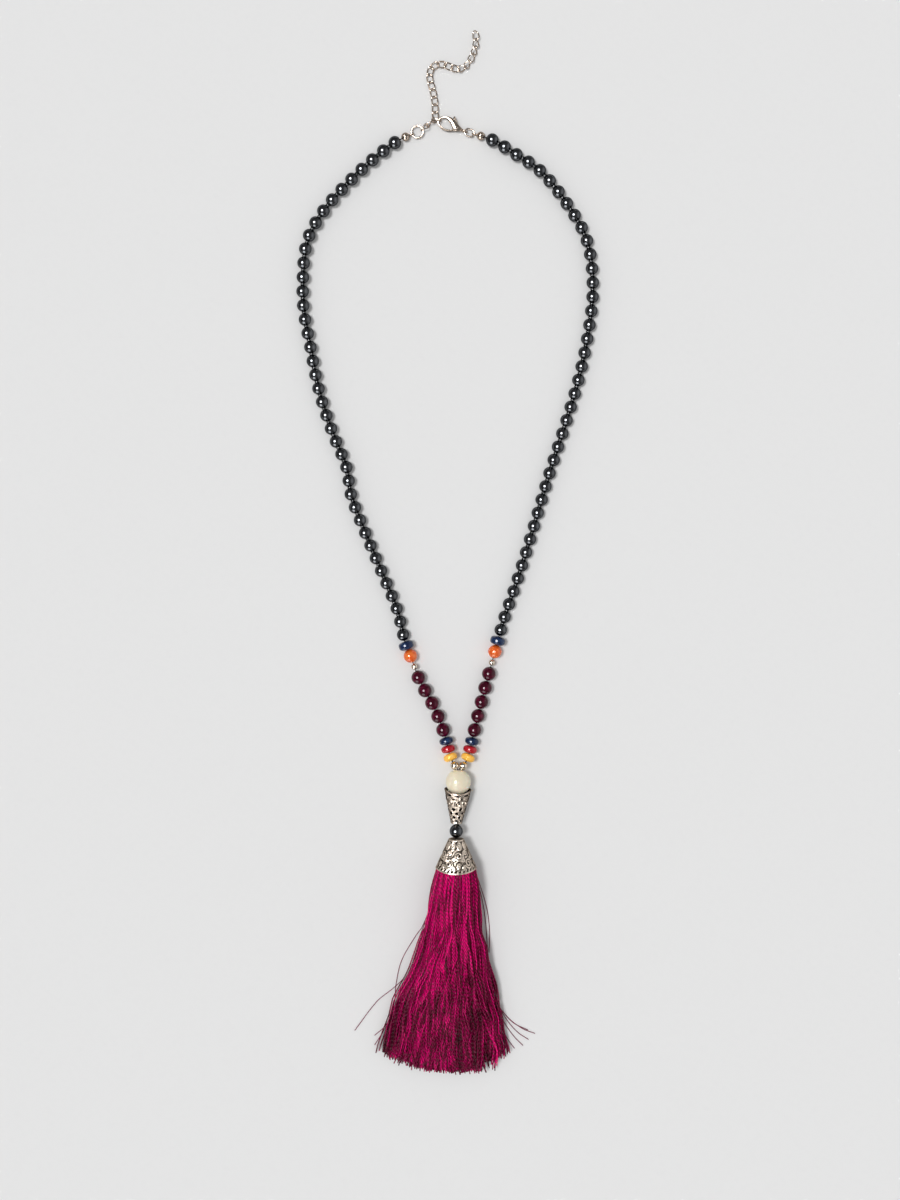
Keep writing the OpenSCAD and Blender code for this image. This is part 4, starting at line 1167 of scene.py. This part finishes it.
@dataclass
class Drop:
    """The pendant above the tassel: pale bead, openwork cone, dark bead and cap, hung on one line."""

    shop: Workshop
    pale_d: float = 12.1
    knot_d: float = 6.4
    bore: float = 1.3
    cone_l: float = 17.0
    cone_r: float = 6.4
    cone_end_r: float = 2.6
    cone_wall: float = 0.8
    cone_columns: int = 8
    cap_l: float = 14.0
    cap_r: float = 9.75
    cap_end_r: float = 3.4
    cap_wall: float = 0.9
    cap_hole: float = 1.3
    relief: float = 0.3
    ridge: float = 0.46
    cone_pitch: float = -3.0
    knot_pitch: float = 28.0
    cap_pitch: float = 2.5
    cone_dip: float = 0.9
    cap_dip: float = 1.3
    drop_turn: float = 2.5

    def line(self, turn: float, pitch: float) -> Vector:
        """Returns the direction down the drop for a turn and a pitch in degrees."""
        t, p = math.radians(turn), math.radians(pitch)
        return Vector((-math.sin(t) * math.cos(p), -math.cos(t) * math.cos(p), math.sin(p)))

    def build(self) -> None:
        """Builds and dresses the drop's pieces."""
        lean = self.line(self.drop_turn / 2, self.knot_pitch)
        for name, node, slot, diameter, finish, way in (
            ("ivory_bead", "pale_bead", "ivory", self.pale_d, IVORY_STONE, Vector((0, 1, 0))),
            ("dark_drop_bead", "drop_bead", "dark_mirror", self.knot_d, HEMATITE, lean),
        ):
            shape = turned(bead_profile(diameter, diameter, self.bore, steps=36), 64)
            settle(self.shop.set_out(name, shape, [(centre(node), along(way))], finish), slot, node)
        self.build_cone()
        self.build_cap()

    def seat(
        self, piece: bpy.types.Object, node: str, way: Vector, length: float, start_r: float, end_r: float
    ) -> None:
        """Moves a cone-shaped casting from the origin to its node's box, and hands it over.

        Args:
            piece: The casting.
            node: The CAD node.
            way: The casting's direction.
            length: Its length.
            start_r: Radius at its start.
            end_r: Radius at its end.
        """
        low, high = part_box(node)
        side = math.sqrt(max(0.0, 1 - way.y**2))
        wide = max(start_r, end_r)
        # The start lies at the box's top edge in Y, and the wider end touches both sides
        y = high.y - start_r * side * MM
        wide_at = 0.0 if start_r > end_r else length
        x = (low.x + high.x) / 2 - way.x * wide_at * MM
        z = low.z + wide * math.sqrt(1 - way.z**2) * MM - way.z * wide_at * MM
        piece.data.transform(Matrix.Translation((x, y, z)) @ along(way).to_matrix().to_4x4())
        settle(piece, "antique_silver", node)

    def cone_at(self, share: float) -> float:
        """Returns the cone's radius at a share of its length, in millimetres."""
        return self.cone_r + (self.cone_end_r - self.cone_r) * share

    def painted_side_shade(self, angle: float) -> float:
        """Tells how much painted shade a casting gets round its axis: 0 on its top, 1 at its sides and underneath.

        Args:
            angle: The angle round the axis, in radians, from the right over the top.

        Returns:
            The share of painted shade.
        """
        return eased((0.85 - math.sin(angle)) / 0.6)

    def build_cone(self) -> None:
        """Builds the openwork cone as cast rows of openings with raised collars, and curls in the large ones."""
        rows = [
            Row(0.045, 0.36, 0.36, 0, 0.0, 0.12), Row(0.155, 0.2, 0.3, 0, 0.5, 0.28),
            Row(0.265, 0.38, 0.41, 12, 0.0, 0.3), Row(0.465, 0.3, 0.36, 28, 0.5, 0.2),
            Row(0.6, 0.3, 0.38, -28, 0.0, 0.18), Row(0.725, 0.3, 0.38, 28, 0.5, 0.16),
            Row(0.84, 0.3, 0.36, -28, 0.0, 0.14), Row(0.945),
        ]
        # Share of a collar's height and share of stain, from the opening's edge to the cell's
        rises = (0.35, 1.0, 0.8, 0.25, 0.0, 0.0, 0.0)
        stains = (0.6, 0.0, 0.0, 0.3, 0.6, 0.35, 0.12)
        side, rings, columns = 6, len(rises), self.cone_columns
        quads, where = [], []

        def point(turn: float, share: float, out: float, shade: float) -> int:
            """Adds a point at a turn in cells, a share of the length and a height over the face."""
            a = TURN * turn / columns
            r = (self.cone_at(share) + out) * MM
            dip = self.cone_dip * max(0.0, 1 - share / 0.3) ** 2 * math.sin(a) ** 2
            # Patina of the hollows, with painted shade added on the sides and underneath
            stain_and_painted_shade = shade + 0.8 * self.painted_side_shade(a) * (1 - shade)
            where.append((r * math.cos(a), r * math.sin(a), (share * self.cone_l + dip) * MM, stain_and_painted_shade))
            return len(where) - 1

        def opening(row: Row, high: float, column: int, ring: int, outer: bool) -> list[int]:
            """Adds one ring of an opening's points, between its own edge and its cell's."""
            middle_share = row.start + high / 2
            cell_w, cell_h = TURN * self.cone_at(middle_share) / columns, high * self.cone_l
            tilt, reach = math.radians(row.lean), (ring / (rings - 1)) ** 1.2
            rise, dark = (row.collar * rises[ring], stains[ring]) if outer else (-self.cone_wall, 1.0)
            made = []
            for k in range(4 * side):
                leg, part = divmod(k, side)
                t = part / side - 0.5
                u, v = ((0.5, t), (-t, 0.5), (-0.5, -t), (t, -0.5))[leg]
                a = math.atan2(v, u)
                x, y = row.half_w * cell_w * math.cos(a), row.half_h * cell_h * math.sin(a)
                hole_u = (x * math.cos(tilt) - y * math.sin(tilt)) / cell_w
                hole_v = (x * math.sin(tilt) + y * math.cos(tilt)) / cell_h
                turn = column + row.shift + (hole_u + (u - hole_u) * reach)
                made.append(point(turn, middle_share + (hole_v + (v - hole_v) * reach) * high, rise, dark))
            return made

        for row, after in zip(rows, rows[1:]):
            high = after.start - row.start
            for column in range(columns):
                front, back = ([opening(row, high, column, ring, outer) for ring in range(rings)]
                               for outer in (True, False))
                quads += bands(front) + bands(back) + bands([front[0], back[0]])
        # The plain lip at the mouth and the collar at the narrow end, each round from the outer to the inner skin:
        # share of the length, height over the face, and stain
        for profile in (
            ((0.045, 0.0, 0.5), (0.035, 0.14, 0.1), (0.018, 0.2, 0.0), (0.002, 0.1, 0.0), (0.0, -0.3, 0.2),
             (0.01, -0.75, 0.6), (0.045, -self.cone_wall, 0.9)),
            ((0.945, 0.0, 0.6), (0.955, 0.12, 0.1), (0.975, 0.2, 0.0), (0.995, 0.1, 0.1), (1.0, -0.2, 0.3),
             (0.99, -0.7, 0.8), (0.945, -self.cone_wall, 0.9)),
        ):
            quads += bands([[point(k / side, *row) for k in range(columns * side)] for row in profile])
        table = np.array(where)
        cone = mesh_object("openwork_cone_cast", table[:, :3], quads)
        note(cone, "patina", table[:, 3])
        finish_mesh(cone, 0.02)
        cone.data.materials.append(ANTIQUE.material())
        cone = join("openwork_cone_cast", [cone, self.cone_curls(rows[2], rows[3].start)])
        way = self.line(self.drop_turn, self.cone_pitch)
        self.seat(cone, "openwork_cone", way, self.cone_l, self.cone_r, self.cone_end_r)

    def cone_curls(self, row: Row, end: float) -> bpy.types.Object:
        """Builds the curl inside each large opening.

        Args:
            row: The openings' row.
            end: Share where the row ends.

        Returns:
            The curls, in the cone's own frame.
        """
        deep = 0.35
        runs = []
        for column in range(self.cone_columns):
            run = []
            for part in np.linspace(0, 1, 22):
                a = math.radians(200) - part * 1.35 * TURN
                reach = 1.0 - 0.8 * part
                turn = TURN * (column + row.shift + row.half_w * reach * math.cos(a)) / self.cone_columns
                share = (row.start + end) / 2 + row.half_h * reach * math.sin(a) * (end - row.start)
                r = self.cone_at(share) - deep
                run.append(Vector((r * math.cos(turn), r * math.sin(turn), share * self.cone_l)) * MM)
            runs.append(run)
        return self.shop.draw_wire("cone_curls", runs, 0.24 * MM, 8, ANTIQUE)

    def cap_point(self, down: float, around_mm: float, turn: float, out: float = 0.0) -> Vector:
        """Gives a point on the cap's face.

        Args:
            down: Length from its narrow end, in millimetres.
            around_mm: Length round it from the turn.
            turn: The turn in degrees.
            out: Height over the face.

        Returns:
            The point in metres, in the cap's own frame.
        """
        r = self.cap_end_r + (self.cap_r - self.cap_end_r) * down / self.cap_l
        a = math.radians(turn) + around_mm / r
        return Vector(((r + out) * math.cos(a), (r + out) * math.sin(a), down)) * MM

    def cap_lines(self) -> bpy.types.Object:
        """Draws the cap's ornament as lines on its face: leaf loops, scrolls, curls between them and rim leaves."""
        runs: list[list[Vector]] = []
        length, columns, leaves, strokes = self.cap_l, 5, 10, 30
        # Share of the length, turn in columns, radius as a share of the length, first angle and turns
        scrolls = [
            (0.5, 0.1, 0.16, 250, 1.7), (0.73, 0.6, 0.16, 70, -1.7), (0.42, 0.66, 0.09, 60, 1.3),
            (0.62, 0.86, 0.08, 200, -1.3), (0.8, 0.12, 0.08, 240, -1.3), (0.6, 0.36, 0.06, 90, 1.2),
            (0.84, 0.36, 0.05, 300, 1.1), (0.84, 0.88, 0.055, 200, -1.1),
        ]
        for column in range(columns):
            for share, shift, size, start, turns in scrolls:
                turn = (column + shift) * 360 / columns
                run = []
                for part in np.linspace(0, 1, 41):
                    r = size * length * (1 - 0.78 * part)
                    a = math.radians(start + 360 * turns * part)
                    run.append(self.cap_point(share * length + r * math.cos(a), r * math.sin(a), turn))
                runs.append(run)
        half = 0.62 * math.pi * (self.cap_end_r + 0.2 * (self.cap_r - self.cap_end_r)) / leaves
        for k in range(leaves):
            for size in (1.0, 0.45):
                run = []
                for a in np.radians(np.linspace(-170, 170, 25)):
                    down = (0.195 - 0.125 * size * math.cos(a)) * length
                    run.append(self.cap_point(down, half * size * math.sin(a), k * 360 / leaves))
                runs.append(run)
        # Slanting strokes just over the rim: share of the length, and place round the cap
        stroke = ((0.9, -0.35), (0.93, 0.1), (0.965, 0.3))
        runs += [[self.cap_point(s * length, x, k * 360 / strokes) for s, x in stroke] for k in range(strokes)]
        runs += [[self.cap_point(down * length, 0, a) for a in range(0, 361, 4)] for down in (0.02, 0.985)]
        return chained("cap_lines", runs)

    def build_cap(self) -> None:
        """Builds the cap: a thin cone with its ornament raised on the face and a dark ground."""
        columns, rows = 420, 84
        # Length from the narrow end, height over the face, and share of the relief
        profile = [(k / rows * self.cap_l, 0.0, 1.0) for k in range(rows + 1)]
        profile += [(self.cap_l, -0.5 * self.cap_wall, 0.0)]
        profile += [(self.cap_l * s + self.cap_wall * (1 - s), -self.cap_wall, 0.0) for s in (0.99, 0.6, 0.3, 0.0)]
        count = len(profile) + 2
        lean = math.atan2(self.cap_r - self.cap_end_r, self.cap_l)
        points, out, outer, side = [], [], [], []
        for k in range(columns):
            turn = 360 * k / columns
            a = math.radians(turn)
            c, s = math.cos(a), math.sin(a)
            points += [self.cap_point(down, 0, turn, depth) for down, depth, _ in profile]
            points += [Vector((self.cap_hole * c, self.cap_hole * s, z)) * MM for z in (self.cap_wall, 0.0)]
            out += [(math.cos(lean) * c, math.cos(lean) * s, -math.sin(lean))] * len(profile) + [(0, 0, 0)] * 2
            outer += [raised for _, _, raised in profile] + [0.0, 0.0]
            # Painted shade on the cap's sides and underneath, none on its top
            side += [0.5 * self.painted_side_shade(a)] * count
        cap = mesh_object("tassel_cap_cast", np.array(points), bands(grid(columns, count), closed=True))
        note(cap, "out", out, "FLOAT_VECTOR")
        note(cap, "outer", outer)
        note(cap, "side", side)
        lines = self.cap_lines()
        self.shop.relief.run(cap, ANTIQUE, Lines=lines, Height=0.85 * self.relief * MM, Width=self.ridge * MM)
        bpy.data.objects.remove(lines)
        finish_mesh(cap)
        for vertex in cap.data.vertices:
            at = vertex.co
            reach = max(0.0, at.z / (self.cap_l * MM) - 0.55) / 0.45
            at.z += self.cap_dip * MM * reach**2 * at.y**2 / max(at.x**2 + at.y**2, 1e-12)
        way = self.line(0.0, self.cap_pitch)
        self.seat(cap, "tassel_cap", way, self.cap_l, self.cap_end_r, self.cap_r + self.relief)


@dataclass
class Tassel:
    """The thread tassel: locks of twisted rayon that leave the cap round and end in a flat fan on the floor."""

    shop: Workshop
    top: float = -259.5
    middle_x: float = 3.9
    # The real thread is 0.4 mm: it is drawn thicker, so that single threads show
    thread: float = 0.6
    seed: int = 7
    # Shares of the tassel's half width that its outermost guides reach and that a lock spreads over
    reach: float = 0.96
    lock_spread: float = 0.22
    # A second, shorter wave's share of the sway
    ripple: float = 0.25
    # Distance in Y, left and right edge, and height over the floor, down the tassel, in millimetres
    outline: tuple = (
        (-259.5, -4.3, 12.2, 18.0), (-262.5, -5.0, 12.9, 18.4), (-270.0, -7.0, 14.2, 17.5), (-291.9, -10.3, 15.5, 13.6),
        (-310.9, -17.3, 19.4, 10.6), (-329.6, -25.2, 23.4, 8.6), (-343.4, -29.8, 25.9, 7.0), (-357.0, -32.8, 27.9, 5.8),
        (-368.0, -34.8, 29.5, 5.2),
    )
    # X and Y of points of the fan's edge
    ends: tuple = (
        (-35, -354.5), (-29.8, -358.6), (-18.9, -362.8), (-10, -366.0), (0.9, -366.6), (8.4, -367.4), (17.8, -363.6),
        (29, -356.0),
    )
    # Hollows where the locks part: middle in X and Y, half width and half length in millimetres, depth of painted shade
    hollows: tuple = (
        (13.5, -333.0, 7.5, 24.0, 0.45), (1.5, -279.0, 3.0, 13.0, 0.4), (12.5, -284.0, 3.0, 12.0, 0.3),
        (-24.0, -345.0, 3.0, 12.0, 0.3),
    )

    def at(self, y: float) -> tuple[float, float, float]:
        """Returns the tassel's left edge, right edge and height at a distance in Y, in millimetres."""
        table = np.array(self.outline)[::-1]
        return tuple(float(np.interp(y, table[:, 0], table[:, c])) for c in (1, 2, 3))

    def dye(self, x: float, y: float) -> float:
        """Returns the painted shade of the threads at a place: darker towards the bottom of the tassel and in the
        hollows between the locks.
        """
        shade = 1.36 - 0.8 * min(1.0, (self.top - y) / 100)
        for at_x, at_y, wide, long, deep in self.hollows:
            shade -= deep * math.exp(-(((x - at_x) / wide) ** 2) - ((y - at_y) / long) ** 2)
        return shade

    def guide(
        self, u: float, v: float, rng: np.random.Generator, steps: int, sway: float, drift: float = 0.0,
        narrow: float = 1.0
    ) -> list[tuple[Vector, Vector, Vector, float]]:
        """Runs a lock's guide from the cap to the fan's edge.

        Args:
            u: Place across the tassel, from -1 to 1.
            v: Place through its thickness, from -1 to 1.
            rng: The source of its waves.
            steps: Steps along it.
            sway: How far it waves sideways, in millimetres.
            drift: How far it crosses over its neighbours, as a share of half the tassel's width.
            narrow: The lock's spread, as a share of a full lock's.

        Returns:
            For each step the point, half the lock's spread across and through the tassel in metres, and its dye and
            painted shade.
        """
        ends = np.array(self.ends)
        left, right, _ = self.at(-362)
        end = float(np.interp((left + right) / 2 + u * (right - left) / 2, ends[:, 0], ends[:, 1]))
        wave, phase = rng.uniform(26, 52), rng.uniform(0, TURN)
        wave_2, phase_2 = rng.uniform(12, 20), rng.uniform(0, TURN)
        cross_at, own_dye = rng.uniform(0.2, 0.45), rng.uniform(0.55, 1.1)
        made = []
        for k in range(steps + 1):
            share = k / steps
            y = self.top + (end - self.top) * share
            left, right, height = self.at(y)
            half_w, half_h = (right - left) / 2, height / 2
            grow = min(1.0, 2.2 * share)
            here = max(-1.0, min(1.0, u + drift * eased((share - cross_at) / 0.5)))
            x = (left + right) / 2 + here * half_w * self.reach
            x += grow * sway * (
                math.sin(TURN * y / wave + phase) + self.ripple * math.sin(TURN * y / wave_2 + phase_2))
            round_off = math.sqrt(max(0.05, 1 - here * here * (1 - 0.35 * share)))
            z = half_h + v * half_h * round_off * 0.94 + 0.4 * sway * grow * math.cos(TURN * y / wave + phase_2)
            inside = min(1.0, 0.7 + 3.0 * share)
            if share < 0.1:
                z = half_h + v * inside * half_h * round_off * 0.9
            spread = half_w * self.lock_spread * narrow
            deep = max(0.9, 0.3 * half_h) * (0.4 + 0.6 * narrow) * inside
            # Painted shade of the place, times the lock's own dye. Crossing threads are painted brighter, as lit
            # threads over the hollows, and each thread is brighter at its end.
            shade = (own_dye if drift == 0.0 else 1.15) * self.dye(x, y) * (1.35 if share > 0.96 else 1.0)
            at = Vector((x, y, z + self.rise(y)))
            made.append((at * MM, Vector((spread, 0, 0)) * MM, Vector((0, 0, deep)) * MM, shade))
        return made

    def rise(self, y: float) -> float:
        """Returns how far the tassel's underside is off the floor at a distance in Y: it sags from the cap."""
        share = max(0.0, min(1.0, (y + 300) / 38))
        return 1.1 * share**2

    def build(self) -> None:
        """Builds and dresses the tassel's layers of locks and its stray threads."""
        rng = np.random.default_rng(self.seed)
        per_lock = 34
        # Name, number of locks, place through the thickness, sway, and a thread's sides
        layers = (
            ("tassel_threads_under", 11, -0.55, 0.6, 4), ("tassel_threads_core", 11, 0.0, 0.6, 4),
            ("tassel_threads_upper", 13, 0.45, 0.8, 5), ("tassel_threads_top", 10, 0.8, 1.0, 5),
        )
        for number, (name, locks, v, sway, sides) in enumerate(layers):
            guides = []
            for k in range(locks):
                u = (2 * (k + 0.5) / locks - 1) * (1.0 if number < 3 else 0.7)
                u = (u + rng.uniform(-0.04, 0.04)) * math.sqrt(max(0.1, 1 - 0.6 * v * v))
                guides.append(self.guide(u, v + rng.uniform(-0.08, 0.08), rng, 24, sway))
            piece = self.hang(name, guides, per_lock, sides, 1.5, 0.045, 100 * number)
            settle(piece, "tassel_thread", *(("tassel",) if number == 0 else ()))
        crossing = []
        for k in range(26):
            u = rng.uniform(-0.8, 0.75)
            crossing.append(self.guide(u, rng.uniform(0.9, 1.1), rng, 30, 1.3, rng.uniform(-0.2, 0.3) + 0.1 * u, 0.3))
        settle(self.hang("tassel_threads_crossing", crossing, 7, 5, 1.8, 0.09, 900), "tassel_thread")
        self.build_strays(rng)

    def hang(
        self, name: str, guides: list, threads: int, sides: int, wander: float, uneven: float, seed: int
    ) -> bpy.types.Object:
        """Runs the lock tree over guides.

        Args:
            name: The piece's name.
            guides: The guides, as guide() gives them.
            threads: Threads for each.
            sides: Sides of a thread.
            wander: How far a thread leaves its place, in millimetres.
            uneven: Largest share of its length that a thread's end lacks.
            seed: The random seed.

        Returns:
            The piece.
        """
        made = chained(name, [[step[0] for step in guide] for guide in guides])
        _, across, lift, dye = zip(*(step for guide in guides for step in guide))
        note(made, "across", across, "FLOAT_VECTOR")
        note(made, "lift", lift, "FLOAT_VECTOR")
        note(made, "dye", dye)
        note(made, "thick", [self.thread / 2 * MM] * len(dye))
        return self.shop.locks.run(
            made, RAYON, Threads=threads, Sides=sides, Wander=wander * MM, Uneven=uneven, Seed=seed)

    def build_strays(self, rng: np.random.Generator) -> None:
        """Builds the single threads that left the tassel's sides, as the object lies."""
        # X and Y of chosen points of each stray thread, in millimetres
        routes = [
            ((-8, -280), (-12.8, -294), (-15.8, -298.3), (-22.9, -311), (-25.8, -323.7), (-26.2, -330.4)),
            ((-11, -291), (-14.5, -300), (-21.5, -319.1), (-27, -325), (-35.2, -331.9), (-46.2, -346.7)),
            ((-17, -312), (-23, -325), (-27.7, -337), (-31, -344.2), (-36.4, -349.3)),
            ((-18, -316), (-24, -330), (-28.7, -340.1), (-32.2, -347.3), (-36.4, -354.2)),
            ((11.5, -259), (12.9, -264.1), (14.6, -269.6), (18.9, -284), (20.4, -296), (20.2, -307)),
            ((12.6, -266), (16, -277), (18.3, -290), (19.3, -303), (20, -312)),
            ((17, -309), (20, -322), (23.2, -330.9), (29.6, -340.1), (36.6, -345.7), (43, -348.3)),
            ((17.5, -313), (21, -326), (24.1, -332.9), (29.6, -342.1), (34.6, -347.8), (39.8, -351.4)),
            ((18, -316), (20.5, -327), (23.7, -335), (28.1, -343.2), (32.6, -349.8), (37.1, -354.5)),
            ((18, -320), (20, -328), (22.7, -336), (26.2, -344.7), (29.7, -351.4), (32.9, -356)),
            ((19, -318), (23, -329), (27, -337), (32.5, -343), (39.5, -346.5)),
        ]
        radius = self.thread / 2 * 0.6 * MM
        runs = []
        for route in routes:
            count = len(route)
            points = []
            for i, (x, y) in enumerate(route):
                left, right, height = self.at(y)
                inside = 1.0 if left < x < right else 0.0
                z = 0.45 * height * inside * (1 - i / count) + 0.3
                points.append(Vector((x, y, z)) * MM)
            runs.append([Vector((p.x, p.y, max(p.z, radius))) for p in smooth_path(points, 8)])
        strays = self.shop.draw_wire("tassel_stray_threads", runs, radius, 6, RAYON)
        note(strays, "shade", [0.3] * len(strays.data.vertices))
        settle(strays, "tassel_thread")


@dataclass(frozen=True)
class Glow:
    """A soft bright panel of the room, which only shows in what is polished."""

    way: tuple[float, float, float]
    full: float
    none: float
    level: float


@dataclass
class Studio:
    """The pale floor, the soft light and the camera."""

    camera_at: tuple = (0.94, -59.3, 696.17)
    look_at: tuple = (0.94, -132.47, 0.0)
    tilt: float = 6.0
    lens: float = 43.75
    sensor: float = 36.0
    floor_size: float = 60000.0
    key_way: tuple = (-0.3, 0.14, 0.944)
    key_angle: float = 14.0
    key_strength: float = 1.6
    sky: float = 0.505
    backdrop: float = 0.78
    zenith: float = 0.3
    horizon: float = 0.16
    # The lamp's own softbox, a low panel to the lower left and a broad wall to the right
    glows: tuple[Glow, ...] = (
        Glow((-0.34, 0.07, 0.93), 14.0, 18.0, 30.0),
        Glow((-0.3, -0.82, 0.34), 13.0, 24.0, 5.0),
        Glow((1.0, 0.0, 0.1), 8.0, 54.0, 0.95),
    )

    def build(self) -> None:
        """Builds the floor, lights and camera."""
        half = self.floor_size / 2 * MM
        corners = [(-half, -half, 0), (half, -half, 0), (half, half, 0), (-half, half, 0)]
        floor = mesh_object("floor", np.array(corners), [(0, 1, 2, 3)])
        floor.data.materials.append(PAPER.material())
        self.build_key()
        self.build_world()
        self.build_camera()
        bpy.context.scene.view_settings.view_transform = "Standard"

    def build_key(self) -> None:
        """Adds the key light: even over the whole floor, with soft-edged shadows."""
        lamp = bpy.data.lights.new("key", "SUN")
        lamp.energy, lamp.angle = self.key_strength, math.radians(self.key_angle)
        obj = bpy.data.objects.new("key", lamp)
        obj.rotation_euler = (-Vector(self.key_way)).to_track_quat("-Z", "Y").to_euler()
        # The room's first panel is what gloss sees of it
        obj.visible_glossy = False
        bpy.context.scene.collection.objects.link(obj)

    def build_world(self) -> None:
        """Makes a soft even room: light for matt surfaces, and a darker one with bright panels for reflections."""
        world = bpy.data.worlds.new("room")
        world.use_nodes = True
        bpy.context.scene.world = world
        world.node_tree.nodes.clear()
        room = Nodes(world.node_tree)
        way = room.add("ShaderNodeTexCoord").outputs["Generated"]
        height = room.add("ShaderNodeSeparateXYZ", {0: way}).outputs[2]
        level = room.ramp(height, (0.1, 0.75), (self.horizon, self.zenith))
        for glow in self.glows:
            ways = {0: way, 1: Vector(glow.way).normalized()}
            toward = room.add("ShaderNodeVectorMath", ways, operation="DOT_PRODUCT").outputs["Value"]
            edges = math.cos(math.radians(glow.none)), math.cos(math.radians(glow.full))
            level = room.math("ADD", level, room.ramp(toward, edges, (0.0, glow.level)))
        rays = room.add("ShaderNodeLightPath").outputs
        seen = self.light(room, "#ffffff", self.sky)
        # Beyond the floor's edge, low views see a backdrop as pale as the floor
        for ray, colour, strength in (
            ("Is Glossy Ray", "#f6f7f9", level), ("Is Camera Ray", "#ffffff", self.backdrop),
        ):
            inputs = {0: rays[ray], 1: seen, 2: self.light(room, colour, strength)}
            seen = room.add("ShaderNodeMixShader", inputs).outputs[0]
        room.add("ShaderNodeOutputWorld", {0: seen})

    def light(self, room: Nodes, colour: str, strength: Socket | float) -> Socket:
        """Returns the light of a room of one sRGB hex colour."""
        return room.add("ShaderNodeBackground", {"Color": linear(colour), "Strength": strength}).outputs[0]

    def build_camera(self) -> None:
        """Sets the camera over the necklace, as in the photo."""
        lens = bpy.data.cameras.new("camera")
        lens.sensor_fit, lens.lens = "VERTICAL", self.lens
        lens.sensor_height = lens.sensor_width = self.sensor
        lens.clip_start = 0.01
        camera = bpy.data.objects.new("camera", lens)
        at, to = Vector(self.camera_at) * MM, Vector(self.look_at) * MM
        back = (at - to).normalized()
        tilt = math.radians(self.tilt)
        up = Vector((0, math.cos(tilt), -math.sin(tilt)))
        right = up.cross(back).normalized()
        turn = Matrix((right, back.cross(right), back)).transposed().to_4x4()
        camera.matrix_world = Matrix.Translation(at) @ turn
        bpy.context.scene.collection.objects.link(camera)
        bpy.context.scene.camera = camera


def main() -> None:
    """Builds the necklace and its studio in order."""
    logging.basicConfig(level=logging.INFO, format="%(name)s: %(message)s")
    shop = Workshop()
    Studio().build()
    for side in Side:
        Strand(side, shop).build()
    Clasp(shop).build()
    Drop(shop).build()
    Tassel(shop).build()


if __name__ == "__main__":
    main()
